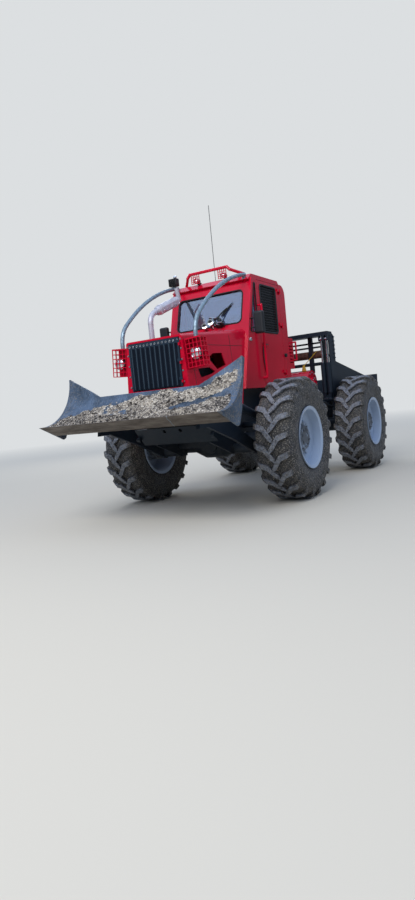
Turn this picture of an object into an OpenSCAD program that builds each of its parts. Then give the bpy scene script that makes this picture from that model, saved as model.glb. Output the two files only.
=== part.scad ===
// Articulated forestry cable skidder: front half with cab and blade, rear half with winch, arch and shield.
// X points forwards, Y to the machine's left, Z up. The ground is at Z = 0.

/* [Running gear] */
// Distance between the two axles
wheelbase = 2750; // [2600:10:2900]
// Distance between the wheel centres of one axle
track = 2170; // [2130:10:2300]
// Radius of a tyre over its lugs
tyre_r = 725; // [700:5:750]
// Width of a tyre
tyre_w = 460; // [400:10:470]
// Height of the tyre lugs
lug_h = 38; // [20:1:45]
// Lugs on each side of a tyre
lug_count = 20; // [16:1:24]
// Width of a tyre lug
lug_w = 50; // [40:1:60]
// Radius of the rim at its outer flange
rim_r = 362; // [340:2:380]
// Radius of the axle tube
axle_r = 110; // [90:2:110]
// Radius of the differential housing
diff_r = 185; // [160:5:195]
// Radius of the hub flange on the axle
hub_r = 125; // [115:1:130]
// Radius of the wheel spindle
spindle_r = 60; // [50:1:70]

/* [Chassis] */
// Half width over the chassis side plates
frame_half = 385; // [370:5:400]
// Thickness of the chassis side plates
frame_t = 25; // [16:1:30]
// Height of the underside of the chassis
frame_low = 640; // [600:10:660]
// Radius of the articulation pins
hinge_pin_r = 45; // [35:1:55]
// Radius of the articulation tongue
tongue_r = 90; // [80:2:100]
// Reach of the nose box in front of the axle midpoint
nose_box_x = 2413; // [2380:1:2430]
// Half width of the nose box
nose_box_half = 510; // [480:5:520]

/* [Engine] */
// Rear face of the engine block
engine_rear = 1735; // [1730:1:1780]
// Half width of the engine block
engine_half = 270; // [240:5:290]
// Top of the engine block
engine_top = 1780; // [1700:5:1800]
// Room between the engine block and the front of the nose
nose_gap = 241; // [220:1:300]

// Half width of the radiator
radiator_half = 300; // [280:5:310]

/* [Hood] */
// Position of the front of the nose
nose_x = 2571; // [2560:1:2580]
// Height of the hood at the nose
nose_top = 2012; // [1990:1:2030]
// Height of the hood at the cab
hood_top = 2120; // [2100:1:2140]
// Height of the hood's lower edge
hood_low = 1120; // [1100:5:1160]
// Half width of the nose at its top
nose_half = 378; // [370:1:390]
// Half width of the hood at the cab
hood_half = 540; // [520:5:550]
// Thickness of the hood panels
hood_t = 12; // [8:1:16]
// Half width of the grille door
grille_half = 339; // [330:1:345]
// Height of the grille door's lower edge
grille_low = 1455; // [1450:1:1500]
// Height of the grille door's upper edge
grille_top = 1985; // [1960:1:1988]
// Folded ribs on the grille door
rib_count = 10; // [6:1:12]

/* [Cab] */
// Half width of the cab
cab_half = 585; // [570:5:600]
// Height of the cab floor's underside
cab_low = 1375; // [1365:1:1390]
// Height of the cab shell's top edge
cab_top = 2765; // [2755:5:2790]
// Position of the cab's rear wall
cab_rear = 100; // [90:1:110]
// Thickness of the cab walls and doors
cab_wall = 45; // [35:1:50]
// Forward lean of the cab front in mm for each mm of height
cab_lean = 0.31; // [0.28:0.01:0.34]
// Position of the door's front edge
door_front = 985; // [960:5:1000]
// Position of the door's rear edge
door_rear = 305; // [300:1:330]
// Half width of the windscreen
screen_half = 475; // [460:5:490]
// Height of the windscreen's lower edge
screen_low = 2205; // [2200:1:2220]
// Height of the windscreen's upper edge
screen_top = 2624; // [2600:1:2640]
// Half width of the rear window
rear_window_half = 430; // [400:5:450]
// Height of the rear window's lower edge
rear_window_low = 2120; // [2110:1:2150]
// Height of the rear window
rear_window_h = 480; // [440:5:500]
// Thickness of the glass
glass_t = 8; // [5:1:10]
// Thickness of the roof panel
roof_t = 50; // [40:1:60]

/* [Guards] */
// Radius of the branch-deflector tubes
hoop_r = 24; // [18:1:28]
// Half distance between the deflector tubes
hoop_half = 500; // [490:5:510]
// Width of a headlamp cage
cage_w = 200; // [180:5:210]
// Height of a headlamp cage
cage_h = 315; // [290:5:330]
// Bars across a headlamp cage
cage_bars = 5; // [4:1:6]
// Radius of the roof guard's tube
guard_r = 20; // [15:1:24]

/* [Blade] */
// Half width of the blade
blade_half = 1158; // [1120:2:1180]
// Radius of the moldboard's face
blade_r = 548; // [540:1:560]
// Thickness of the moldboard
blade_t = 16; // [12:1:20]
// Position of the cutting edge
blade_tip_x = 3293; // [3280:1:3300]
// Height of the cutting edge, raised
blade_tip_z = 1148; // [1140:1:1160]
// Half width of the straight part of the moldboard's upper edge
blade_flat_half = 663; // [640:1:690]
// Half distance between the push arms' mid planes
arm_half = 660; // [650:5:670]
// Thickness of a push arm
arm_t = 40; // [30:2:40]
// Radius of the blade pivot pins
blade_pin_r = 35; // [28:1:40]
// Radius of a lift cylinder's barrel
lift_barrel_r = 45; // [38:1:48]
// Gap between a lift cylinder's barrel and the tyre
lift_gap = 50; // [42:1:58]

/* [Rear] */
// Gap between the mid plane of a shield side plate and the tyre
plate_gap = 95; // [90:1:110]
// Thickness of the shield's side plates
plate_t = 30; // [24:2:34]
// Half width of the shield
shield_half = 1000; // [900:10:1100]
// Position of the shield's upper edge
shield_x = -2830; // [-2860:5:-2800]
// Height of the shield's upper edge, raised
shield_top = 1484; // [1460:1:1500]
// Height of the arch over its beam
arch_top = 2160; // [2150:1:2180]
// Half width of the winch
winch_half = 580; // [540:5:600]
// Radius of the winch's end discs
winch_r = 205; // [190:1:210]
// Radius of the fairlead rollers
roller_r = 60; // [50:1:65]

/* [Hidden] */
$fn = 48;

// Gap at a seat, gap at a running fit, and gap round a moving panel
seat_gap = 0.3;
run_gap = 0.1;
move_gap = 5;

red = [0.78, 0.05, 0.09];
chassis_blue = [0.13, 0.18, 0.24];
galvanised = [0.62, 0.68, 0.72];
steel = [0.75, 0.76, 0.78];
worn_steel = [0.36, 0.42, 0.5];
black = [0.05, 0.05, 0.06];
rubber = [0.12, 0.12, 0.12];
rim_grey = [0.62, 0.66, 0.7];
glass = [0.4, 0.5, 0.62, 0.5];
rust = [0.35, 0.2, 0.13];

shield_t = 16;

// The object stands with its origin under the middle of its length
length_mid = (blade_tip_x + shield_x - shield_t) / 2;
axle_x = wheelbase / 2;
axle_z = tyre_r;
wheel_y = track / 2;
tyre_inner = wheel_y - tyre_w / 2;
lift_half = tyre_inner - lift_gap - lift_barrel_r;
plate_half = tyre_inner - plate_gap;

// Basic placing: a flat outline drawn in X and Z, or in Y and Z, given a depth, and round bars
module along_y(from, to) translate([0, to, 0]) rotate([90, 0, 0]) linear_extrude(to - from) children();
module along_x(from, to) translate([from, 0, 0]) rotate([90, 0, 90]) linear_extrude(to - from) children();
module along_z(from, to) translate([0, 0, from]) linear_extrude(to - from) children();
module bar_y(r, x, z, from, to) translate([x, from, z]) rotate([-90, 0, 0]) cylinder(r = r, h = to - from);
module bar_x(r, y, z, from, to) translate([from, y, z]) rotate([0, 90, 0]) cylinder(r = r, h = to - from);
module bar_z(r, x, y, from, to) translate([x, y, from]) cylinder(r = r, h = to - from);
module block(x0, x1, y0, y1, z0, z1) translate([x0, y0, z0]) cube([x1 - x0, y1 - y0, z1 - z0]);
module both_sides() {
    children();
    mirror([0, 1, 0]) children();
}
module bar_between(p, q, r) {
    d = q - p;
    translate(p) rotate([0, acos(d[2] / norm(d)), atan2(d[1], d[0])]) cylinder(r = r, h = norm(d));
}
// A rectangle with round corners, from two corners
module round_rect(a0, a1, b0, b1, r) {
    translate([a0 + r, b0]) square([a1 - a0 - 2 * r, b1 - b0]);
    translate([a0, b0 + r]) square([a1 - a0, b1 - b0 - 2 * r]);
    for (a = [a0 + r, a1 - r], b = [b0 + r, b1 - r]) translate([a, b]) circle(r = r);
}
// A bent tube that starts along +Z and bends towards +X, with a weld collar at each joint.
// A step is [length] or [bend radius, angle].
module tube_run(r, steps, i = 0) {
    if (i > 0) translate([0, 0, -6]) cylinder(r = r + 1.5, h = 12);
    if (i < len(steps)) {
        s = steps[i];
        if (len(s) == 1) {
            translate([0, 0, i > 0 ? 1 : 0]) cylinder(r = r, h = s[0] - (i > 0 ? 2 : 1));
            translate([0, 0, s[0]]) tube_run(r, steps, i + 1);
        } else {
            translate([s[0], 0, 0]) rotate([90, 0, 180]) rotate([0, 0, 57 / s[0]])
                rotate_extrude(angle = s[1] - 114 / s[0]) translate([s[0], 0]) circle(r = r);
            translate([s[0], 0, 0]) rotate([0, s[1], 0]) translate([-s[0], 0, 0]) tube_run(r, steps, i + 1);
        }
    }
}
function cab_front(z) = 1160 + cab_lean * (2650 - z);
function polar(c, r, a) = [c[0] + r * cos(a), c[1] + r * sin(a)];

// Front chassis
front_end_x = 150;
frame_step_z = 1050;
blade_pivot = [1600, 660];
lift_base = [1320, 925];
saddle_z = axle_z + axle_r + seat_gap;
steer_base = [660, 300];
steer_z = 780;
steer_eye = [-160, 240];
ear_low = [600, 630];
ear_high = [930, 960];
pivot_tube_r = 60;

module frame_profile() {
    polygon([[front_end_x, frame_low], [1130, frame_low], [1230, saddle_z], [1520, saddle_z],
        [1530, 600], [1680, 600], [1760, frame_low], [2180, 790], [2180, frame_step_z],
        [1640, frame_step_z], [1520, cab_low - seat_gap], [front_end_x, cab_low - seat_gap]]);
}
nose_box_top = 1005;
module nose_box() {
    top_z = nose_box_top;
    low_z = 805;
    low_x = nose_box_x - 188;
    plate = 20;
    difference() {
        along_y(-nose_box_half, nose_box_half)
            polygon([[2100, top_z], [nose_box_x, top_z], [low_x, low_z], [2100, low_z]]);
        along_y(-nose_box_half + plate, nose_box_half - plate)
            polygon([[2080, top_z - plate], [nose_box_x - 48, top_z - plate],
                [low_x - 24, low_z - 1], [2080, low_z - 1]]);
        for (y = [-110, 110]) bar_x(22, y, 965, 2300, 2500);
    }
}
module yoke_ear(z0, z1) {
    along_z(z0, z1) difference() {
        union() {
            circle(r = 120);
            polygon([[0, -118], [front_end_x, -frame_half], [front_end_x + 30, -frame_half],
                [front_end_x + 30, frame_half], [front_end_x, frame_half], [0, 118]]);
        }
        circle(r = hinge_pin_r + run_gap);
    }
}
module front_frame() {
    color(chassis_blue) {
        both_sides() {
            along_y(frame_half - frame_t, frame_half) frame_profile();
            bar_y(28, 2329, 885, nose_box_half - 20, nose_box_half + 26);
            // Outer seats of the blade pivots and of the lift cylinders
            bar_y(pivot_tube_r, blade_pivot[0], blade_pivot[1], 345, arm_half - arm_t / 2 - 1);
            bar_y(blade_pin_r, blade_pivot[0], blade_pivot[1], 400, arm_half + arm_t / 2 + 14);
            bar_y(blade_pin_r + 14, blade_pivot[0], blade_pivot[1], arm_half + arm_t / 2 + 1,
                arm_half + arm_t / 2 + 14);
            bar_y(36, lift_base[0], lift_base[1], frame_half - frame_t, lift_half - 26);
            bar_y(24, lift_base[0], lift_base[1], 500, lift_half + 38);
            bar_y(36, lift_base[0], lift_base[1], lift_half + 26, lift_half + 38);
            // Fork of the steering cylinder
            for (z = [steer_z - 45, steer_z + 23]) along_z(z, z + 22) hull() {
                translate(steer_base) circle(r = 42);
                translate([steer_base[0] - 60, frame_half - frame_t]) square([120, frame_t]);
            }
            bar_z(20, steer_base[0], steer_base[1], steer_z - 50, steer_z + 50);
            // Outrigger under the hood's edge
            block(1960, 2020, frame_half - 20, 530, hood_low - 25, hood_low - seat_gap);
            block(1960, 2020, frame_half - frame_t, frame_half, frame_step_z - 10, hood_low - 10);
        }
        // Rear cross plate, open where the steering cylinders pass
        along_x(front_end_x, front_end_x + 25) difference() {
            translate([-frame_half, ear_low[0]]) square([2 * frame_half, cab_low - 40 - ear_low[0]]);
            for (side = [-1, 1]) translate([side * 240 - 105, steer_z - 60]) square([210, 120]);
        }
        block(900, 925, -frame_half, frame_half, 860, 1300);
        block(1700, 1725, -frame_half, frame_half, 700, frame_step_z);
        nose_box();
        yoke_ear(ear_low[0], ear_low[1]);
        yoke_ear(ear_high[0], ear_high[1]);
    }
}

// Axles
module axle(x) {
    hub_y = wheel_y - 200;
    translate([x, 0, axle_z]) rotate([-90, 0, 0]) rotate_extrude() polygon([
        [0, -hub_y - 95], [spindle_r, -hub_y - 95], [spindle_r, -hub_y], [hub_r, -hub_y], [hub_r, -hub_y + 150],
        [axle_r, -hub_y + 175], [axle_r, -300], [diff_r, -140], [diff_r, 140], [axle_r, 300],
        [axle_r, hub_y - 175], [hub_r, hub_y - 150], [hub_r, hub_y], [spindle_r, hub_y],
        [spindle_r, hub_y + 95], [0, hub_y + 95]]);
    // Round cover and pinion nose of the differential
    side = x > 0 ? 1 : -1;
    translate([x, 0, axle_z]) rotate([0, 90 * side, 0]) cylinder(r1 = 150, r2 = 110, h = diff_r + 12);
    translate([x, 0, axle_z]) rotate([0, -90 * side, 0]) cylinder(r = 75, h = diff_r + 90);
}
module front_axle() color(chassis_blue) axle(axle_x);
module rear_axle() color(chassis_blue) axle(-axle_x);

// Wheels
bead_half = 183;
// A lug seen from outside: across the tyre in X, round it in Y. It starts past the middle, runs out at
// 45 degrees and bends square to the wall.
module lug_outline() {
    half = tyre_w / 2;
    start = -0.06 * tyre_w;
    sweep = tyre_r * PI / lug_count;
    polygon([[start, -sweep], [start, -sweep + lug_w], [0.34 * half, 0.32 * sweep + lug_w],
        [half + 15, sweep + 0.6 * lug_w], [half + 15, sweep - 0.6 * lug_w], [0.43 * half, 0.23 * sweep],
        [0.13 * half, -0.62 * sweep]]);
}
module tyre(x, y) {
    half = tyre_w / 2;
    base_r = tyre_r - lug_h;
    color(rubber) translate([x, y, axle_z]) rotate([-90, 0, 0]) {
        rotate_extrude() polygon([
            [rim_r - 14, -bead_half], [rim_r + 30, -bead_half - 22], [480, -half + 6], [540, -half],
            [600, -half + 6], [base_r - 22, -half + 32], [base_r, -half + 80], [base_r, half - 80],
            [base_r - 22, half - 32], [600, half - 6], [540, half], [480, half - 6],
            [rim_r + 30, bead_half + 22], [rim_r - 14, bead_half]]);
        intersection() {
            rotate_extrude() polygon([[600, -half + 10], [base_r, -half + 10], [tyre_r, -half + 60],
                [tyre_r, half - 60], [base_r, half - 10], [600, half - 10]]);
            // The lugs of the two sides are half a pitch apart
            for (side = [0, 1], i = [0:lug_count - 1])
                mirror([0, 0, side]) rotate([0, 0, (i + side / 2) * 360 / lug_count]) rotate([0, 90, 0])
                    translate([0, 0, base_r - 100]) linear_extrude(180) rotate([0, 0, 180]) lug_outline();
        }
    }
}
module rim(x, y) {
    side = y > 0 ? 1 : -1;
    barrel = rim_r - 14 - seat_gap;
    color(rim_grey) translate([x, y, axle_z]) rotate([-90 * side, 0, 0]) difference() {
        union() {
            rotate_extrude() polygon([
                [barrel - 14, -206], [rim_r + 8, -218], [rim_r + 8, -206.5], [barrel, -184],
                [barrel, 184], [rim_r + 8, 206.5], [rim_r + 8, 218], [barrel - 14, 206],
                [barrel - 14, 100], [barrel - 40, 92], [150, 92], [150, 68], [barrel - 40, 68],
                [barrel - 14, 60]]);
            translate([0, 0, -195]) cylinder(r = 165, h = 290);
            translate([0, 0, 90]) cylinder(r1 = 160, r2 = 135, h = 45);
        }
        translate([0, 0, -200]) cylinder(r = spindle_r + run_gap, h = 105);
    }
}
module tyre_front_left() tyre(axle_x, wheel_y);
module tyre_front_right() tyre(axle_x, -wheel_y);
module tyre_rear_left() tyre(-axle_x, wheel_y);
module tyre_rear_right() tyre(-axle_x, -wheel_y);
module rim_front_left() rim(axle_x, wheel_y);
module rim_front_right() rim(axle_x, -wheel_y);
module rim_rear_left() rim(-axle_x, wheel_y);
module rim_rear_right() rim(-axle_x, -wheel_y);

// Engine, as one plain block on four feet
module engine_block() color([0.25, 0.26, 0.27]) {
    block(engine_rear, nose_x - nose_gap, -engine_half, engine_half, 1055, engine_top);
    for (x = [1790, 2090]) block(x, x + 60, -frame_half, frame_half, frame_step_z + seat_gap, 1090);
    // Radiator behind the grille, standing on the nose box, with its cores, side tanks and filler neck
    radiator_x = nose_x - 226;
    block(radiator_x, radiator_x + 60, -radiator_half, radiator_half, nose_box_top + seat_gap, 1880);
    for (side = [-1, 1]) block(radiator_x - 8, radiator_x + 68, side * radiator_half - 24,
        side * radiator_half + 24, nose_box_top + seat_gap, 1895);
    bar_z(30, radiator_x + 30, 180, 1870, 1915);
}

// Hood: two rounded sections, the nose and the cab end, joined and hollowed
hood_rear = 1300;
hood_flare = 60;
module hood_section(x, half, top, r, inset) {
    along_x(x, x + 1) hull() {
        for (side = [-1, 1]) {
            translate([side * (half - r), top - r]) circle(r = r - inset, $fn = 32);
            translate([side * (half + hood_flare - 1) - side * inset, hood_low - inset])
                square([2, 2], center = true);
        }
    }
}
module hood_form(inset) {
    hull() {
        hood_section(nose_x - 1 - inset, nose_half, nose_top, 30, inset);
        hood_section(hood_rear, hood_half, hood_top, 60, inset);
    }
}
module hood() color(red) {
    slope = [[cab_front(3000) - 900, 3000], [cab_front(3000) + seat_gap, 3000],
        [cab_front(1000) + seat_gap, 1000], [cab_front(1000) - 900, 1000]];
    difference() {
        hood_form(0);
        hood_form(hood_t);
        along_y(-900, 900) polygon(slope);
        block(1000, 3000, -900, 900, hood_low - 60, hood_low);
        // Grille opening
        block(nose_x - 60, nose_x + 50, -grille_half - move_gap, grille_half + move_gap,
            grille_low - move_gap, grille_top + move_gap);
        // Side cut-outs over the engine bay
        along_y(-900, 900) polygon([[2130, 1770], [2060, 1805], [1890, 1810], [1840, 1670],
            [2020, 1620], [2130, 1720]]);
        along_y(-900, 900) polygon([[2375, 1630], [2160, 1645], [2070, 1600], [2110, 1575], [2340, 1530]]);
    }
    // Hinge halves that stay on the nose
    for (z = hinge_zs) {
        bar_z(hinge_r, grille_hinge[0], grille_hinge[1], z - 30, z - 0.5);
        block(nose_x - 5, grille_hinge[0], grille_hinge[1], grille_hinge[1] + 6, z - 30, z - 0.5);
    }
}

// Grille door
grille_hinge = [nose_x + 36, grille_half + 16];
hinge_r = 8;
hinge_zs = [1520, 1720, 1920];
grille_t = 16;
rib_depth = 16;
module grille() color(chassis_blue) {
    pitch = 2 * (grille_half - 20) / rib_count;
    back = nose_x - 4;
    difference() {
        union() {
            block(back, back + grille_t, -grille_half, grille_half, grille_low, grille_top);
            for (i = [0:rib_count - 1]) translate([back + grille_t, -grille_half + 20 + pitch * (i + 0.5), 0])
                along_z(grille_low + 12, grille_top - 60)
                    polygon([[0, -pitch * 0.36], [rib_depth, -pitch * 0.16], [rib_depth, pitch * 0.16],
                        [0, pitch * 0.36]]);
        }
        for (i = [0:13]) bar_x(7, -grille_half + 36 + i * 2 * (grille_half - 36) / 13, grille_top - 32,
            back - 1, back + grille_t + 1);
    }
    for (z = hinge_zs) {
        bar_z(hinge_r, grille_hinge[0], grille_hinge[1], z, z + 29.5);
        block(grille_hinge[0] - 4, grille_hinge[0] + 4, grille_half - 12, grille_hinge[1], z, z + 29.5);
        block(back + grille_t - 1, grille_hinge[0] + 4, grille_half - 18, grille_half - 10, z, z + 29.5);
    }
}

// Lamps and their guards. The cages lean with the hood's sides.
cage_lean = 3.9;
cage_in = nose_half + 22.3;
cage_top_z = 1948;
cage_front = nose_x - 15;
cage_depth = 130;
lamp_y = 518;
lamp_z = 1790;
roof_lamp_y = 201;
roof_lamp_z = 2852;
module lamps() color([0.85, 0.87, 0.9]) {
    x0 = cage_front - cage_depth + 8 + seat_gap;
    both_sides() {
        // Headlamp, standing on the cage's rear plate
        translate([x0, lamp_y, lamp_z]) rotate([0, 90, 0]) cylinder(r1 = 30, r2 = 62, h = 45);
        bar_x(62, lamp_y, lamp_z, x0 + 45, cage_front - 20);
        // Roof lamp on its foot
        block(1030, 1110, roof_lamp_y - 12, roof_lamp_y + 12, cab_top + roof_t + seat_gap, roof_lamp_z - 10);
        bar_x(34, roof_lamp_y, roof_lamp_z, 1090, 1150);
    }
}
module cage_grid(from, to, rows, bars) {
    bar = 8;
    for (i = [0:bars - 1]) translate([0, from + i * (to - from - bar) / (bars - 1), -cage_h])
        cube([bar, bar, cage_h]);
    for (i = [0:rows - 1]) translate([0, from, -cage_h + i * (cage_h - bar) / (rows - 1)])
        cube([bar, to - from, bar]);
}
module cage() {
    translate([cage_front - cage_depth, cage_in, cage_top_z]) rotate([cage_lean, 0, 0]) {
        // Rear plate, grid in front, rungs at the sides, ledge for the deflector tube
        translate([0, 0, -cage_h]) cube([8, cage_w, cage_h]);
        translate([cage_depth - 8, 0, 0]) cage_grid(0, cage_w, 7, cage_bars);
        for (i = [0:6]) {
            translate([0, cage_w - 8, -cage_h + i * (cage_h - 8) / 6]) cube([cage_depth, 8, 8]);
            translate([0, 0, -cage_h + i * (cage_h - 8) / 6]) cube([cage_depth, 8, 8]);
        }
        translate([56, cage_w - 8, -cage_h]) cube([8, 8, cage_h]);
        translate([0, 0, -1]) cube([cage_depth, cage_w, 9]);
    }
}
guard_foot = [1010, 435];
guard_top = [1165, 275, 2945];
module roof_guard() {
    foot_z = cab_top + roof_t + seat_gap;
    elbow = [guard_top[0], guard_top[1] + 40, guard_top[2] - 40];
    knee = [guard_foot[0], guard_foot[1], foot_z + 30];
    both_sides() {
        bar_z(guard_r, knee[0], knee[1], foot_z, knee[2]);
        translate(knee) sphere(r = guard_r + 1);
        bar_between(knee, elbow, guard_r);
        translate(elbow) sphere(r = guard_r + 1);
        bar_between(elbow, guard_top, guard_r);
        translate(guard_top) sphere(r = guard_r + 1);
        for (y = [-62, -33, -4, 25, 54])
            block(guard_top[0] - 4, guard_top[0] + 4, roof_lamp_y + y, roof_lamp_y + y + 8,
                roof_lamp_z - 40, guard_top[2]);
        for (z = [-40, -12, 16, 44])
            block(guard_top[0] - 4, guard_top[0] + 4, roof_lamp_y - 62, roof_lamp_y + 62,
                roof_lamp_z + z, roof_lamp_z + z + 6);
    }
    bar_y(guard_r, guard_top[0], guard_top[2], -guard_top[1], guard_top[1]);
}
module lamp_guards() color(red) {
    both_sides() cage();
    roof_guard();
}

// Branch-deflector hoops, exhaust
hoop_start = [2474, cage_top_z + 19];
hoop_end = [1163, 2799];
module brush_hoops() color(galvanised) {
    both_sides() {
        translate([hoop_start[0], hoop_half, hoop_start[1]]) mirror([1, 0, 0])
            tube_run(hoop_r, [[32], [315, 49], [2437, 31.6], [18]]);
        // Foot on the roof's sloping front
        along_y(hoop_half - 16, hoop_half + 16) polygon([[hoop_end[0] - 30, visor_z(hoop_end[0] - 30)],
            [hoop_end[0] + 12, visor_z(hoop_end[0] + 12)], [hoop_end[0] + 12, hoop_end[1] - 6],
            [hoop_end[0] - 30, hoop_end[1] + 2]]);
    }
    // Work lamp on the right hoop
    block(1190, 1250, -hoop_half - 40, -hoop_half + 40, 2830, 2905);
    block(1205, 1235, -hoop_half - 12, -hoop_half + 12, 2800, 2835);
}
pipe_start = [2075, -350];
module exhaust() color(steel) {
    hood_z = nose_top + (hood_top - nose_top) * (nose_x - pipe_start[0]) / (nose_x - hood_rear);
    translate([pipe_start[0], pipe_start[1], hood_z + 3.2]) mirror([1, 0, 0]) {
        tube_run(33, [[200], [150, 70], [60]]);
        translate([150, 0, 200]) rotate([0, 70, 0]) translate([-150, 0, 62]) {
            cylinder(r1 = 40, r2 = 57, h = 30);
            translate([0, 0, 29]) cylinder(r = 57.5, h = 472);
            translate([0, 0, 500]) cylinder(r1 = 57, r2 = 30, h = 30);
            translate([0, 0, 520]) cylinder(r = 27, h = 60);
            // Raised outlet
            translate([0, 0, 575]) sphere(r = 28.5);
            translate([0, 0, 575]) rotate([0, -85, 0]) cylinder(r = 27, h = 150);
        }
    }
}

// Cab
quarter_rear = 1050;
module cab_profile(inset) {
    r = 130 - inset;
    top = cab_top - inset;
    polygon(concat([[cab_front(cab_low + inset) - inset, cab_low + inset], [cab_front(top) - inset, top]],
        [for (a = [90:15:180]) polar([cab_rear + inset + r, top - r], r, a)],
        [[cab_rear + inset, cab_low + inset]]));
}
module quarter_outline(grow) {
    polygon([[quarter_rear - grow, 2080 - grow], [cab_front(2080) - 65 + grow, 2080 - grow],
        [cab_front(2700) - 65 + grow, 2700 + grow], [quarter_rear - grow, 2700 + grow]]);
}
module screen_outline(grow)
    round_rect(-screen_half - grow, screen_half + grow, screen_low - grow, screen_top + grow, 60);
module rear_window_outline(grow)
    round_rect(-rear_window_half - grow, rear_window_half + grow, rear_window_low - grow,
        rear_window_low + rear_window_h + grow, 50);
module cab_shell() color(red) {
    difference() {
        along_y(-cab_half, cab_half) cab_profile(0);
        along_y(-cab_half + cab_wall, cab_half - cab_wall) cab_profile(cab_wall);
        block(cab_rear + 150, cab_front(cab_top) - cab_wall, -cab_half + cab_wall,
            cab_half - cab_wall, cab_top - 60, cab_top + 10);
        // Door openings, which go right across
        block(door_rear - move_gap, door_front + move_gap, -cab_half - 1, cab_half + 1,
            cab_low + cab_wall + 5, cab_top - 15);
        along_y(-cab_half - 1, cab_half + 1) quarter_outline(0);
        along_x(1000, 1800) screen_outline(0);
        along_x(0, cab_rear + cab_wall + 1) rear_window_outline(0);
    }
    // Hinge halves under the door's own
    both_sides() for (z = door_hinge_zs) {
        bar_z(11, door_axis[0], door_axis[1], z - 30, z - 0.5);
        block(door_axis[0] - 40, door_axis[0], cab_half - 2, door_axis[1], z - 30, z - 0.5);
    }
}
visor_top = [cab_front(cab_top) - 40, cab_top + roof_t];
visor_tip = [cab_front(cab_top) + 60, cab_top - 22];
function visor_z(x) = visor_top[1] + (visor_tip[1] - visor_top[1]) * (x - visor_top[0]) / (visor_tip[0] - visor_top[0])
    + seat_gap;
module cab_roof() color(red) {
    z0 = cab_top + seat_gap;
    along_y(-cab_half + 20, cab_half - 20)
        polygon([[cab_rear + 130, z0], [cab_front(cab_top) + 0.5, z0], [cab_front(cab_top) + 46, z0 - 32],
            visor_tip, visor_top, [cab_rear + 180, visor_top[1]]]);
}
module cab_windows() color(glass) {
    g = -seat_gap;
    intersection() {
        along_y(-500, 500) polygon([[cab_front(2100) - 24, 2100], [cab_front(2700) - 24, 2700],
            [cab_front(2700) - 24 + glass_t, 2700], [cab_front(2100) - 24 + glass_t, 2100]]);
        along_x(1000, 1800) screen_outline(g);
    }
    both_sides() along_y(cab_half - 24, cab_half - 24 + glass_t) quarter_outline(g);
    along_x(cab_rear + 16, cab_rear + 16 + glass_t) rear_window_outline(g);
}

// Doors, hinged at their rear edge
door_low = cab_low + cab_wall + 10;
door_top = cab_top - 20;
door_axis = [door_rear - 5, cab_half + 17];
door_hinge_zs = [1560, 2200, 2660];
module door_window_outline(grow) round_rect(430 - grow, 915 + grow, 2090 - grow, 2695 + grow, 45);
module door() {
    difference() {
        block(door_rear, door_front, cab_half - cab_wall, cab_half, door_low, door_top);
        along_y(cab_half - cab_wall - 1, cab_half + 1) door_window_outline(0);
        // Inner panel pressed back, so that the skin is thin
        along_y(cab_half - cab_wall - 1, cab_half - 12)
            round_rect(door_rear + 50, door_front - 50, door_low + 50, 2030, 40);
    }
    for (z = door_hinge_zs) {
        bar_z(11, door_axis[0], door_axis[1], z, z + 40);
        block(door_axis[0], door_rear + 12, door_axis[1] - 8, door_axis[1] + 2, z, z + 40);
        block(door_rear + 2, door_rear + 70, cab_half - 2, door_axis[1] + 2, z, z + 40);
    }
    // Handle
    bar_y(16, 880, 1905, cab_half - 2, cab_half + 30);
    block(855, 940, cab_half + 18, cab_half + 30, 1895, 1915);
}
module door_left() color(red) door();
module door_right() color(red) mirror([0, 1, 0]) door();
module door_glass() along_y(cab_half - 28, cab_half - 28 + glass_t) door_window_outline(-seat_gap);
module door_left_glass() color(black) door_glass();
module door_right_glass() color(black) mirror([0, 1, 0]) door_glass();

// Small pieces on the cab
module grab_rails() color(red) both_sides() {
    x = 1020;
    y = cab_half + 55;
    for (z = [1500, 2420]) bar_y(14, x, z, cab_half + seat_gap, y);
    bar_z(14, x, y, 1500, 2420);
    for (z = [1500, 2420]) translate([x, y, z]) sphere(r = 14);
}
module mirrors() color(black) both_sides() {
    along_z(2040, 2310) round_rect(1225, 1290, 640, 765, 25);
    bar_y(10, 1257, 2120, cab_half + seat_gap, 660);
    bar_y(10, 1230, 2240, cab_half + seat_gap, 660);
}
module antenna() color(black) {
    bar_z(18, 550, -235, cab_top + roof_t + seat_gap, cab_top + roof_t + 60);
    bar_z(4, 550, -235, cab_top + roof_t + 50, 3970);
}
module seat() color([0.15, 0.15, 0.17]) {
    z = cab_low + cab_wall + 320;
    along_z(z, z + 120) round_rect(480, 980, -240, 240, 60);
    translate([500, 0, z + 121]) rotate([0, -10, 0]) translate([-65, 0, 0]) along_x(0, 110)
        round_rect(-230, 230, 0, 620, 70);
}
module console() color(black) {
    floor_z = cab_low + cab_wall + seat_gap;
    // Seat pedestal, dashboard, column and steering wheel
    block(560, 900, -180, 180, floor_z, cab_low + cab_wall + 320 - seat_gap);
    along_y(-430, 430) polygon([[1250, floor_z], [1440, floor_z], [1290, 2060], [1190, 2110],
        [1120, 2060], [1150, 1900]]);
    bar_between([1150, 0, 2020], [1040, 0, 2140], 25);
    translate([1040, 0, 2140]) rotate([0, -42.5, 0]) {
        rotate_extrude() translate([190, 0]) circle(r = 15);
        for (a = [0, 120, 240]) rotate([0, 0, a]) translate([0, -12, -8]) cube([190, 24, 16]);
        cylinder(r = 45, h = 30, center = true);
    }
}
box_rear = -80;
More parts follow.
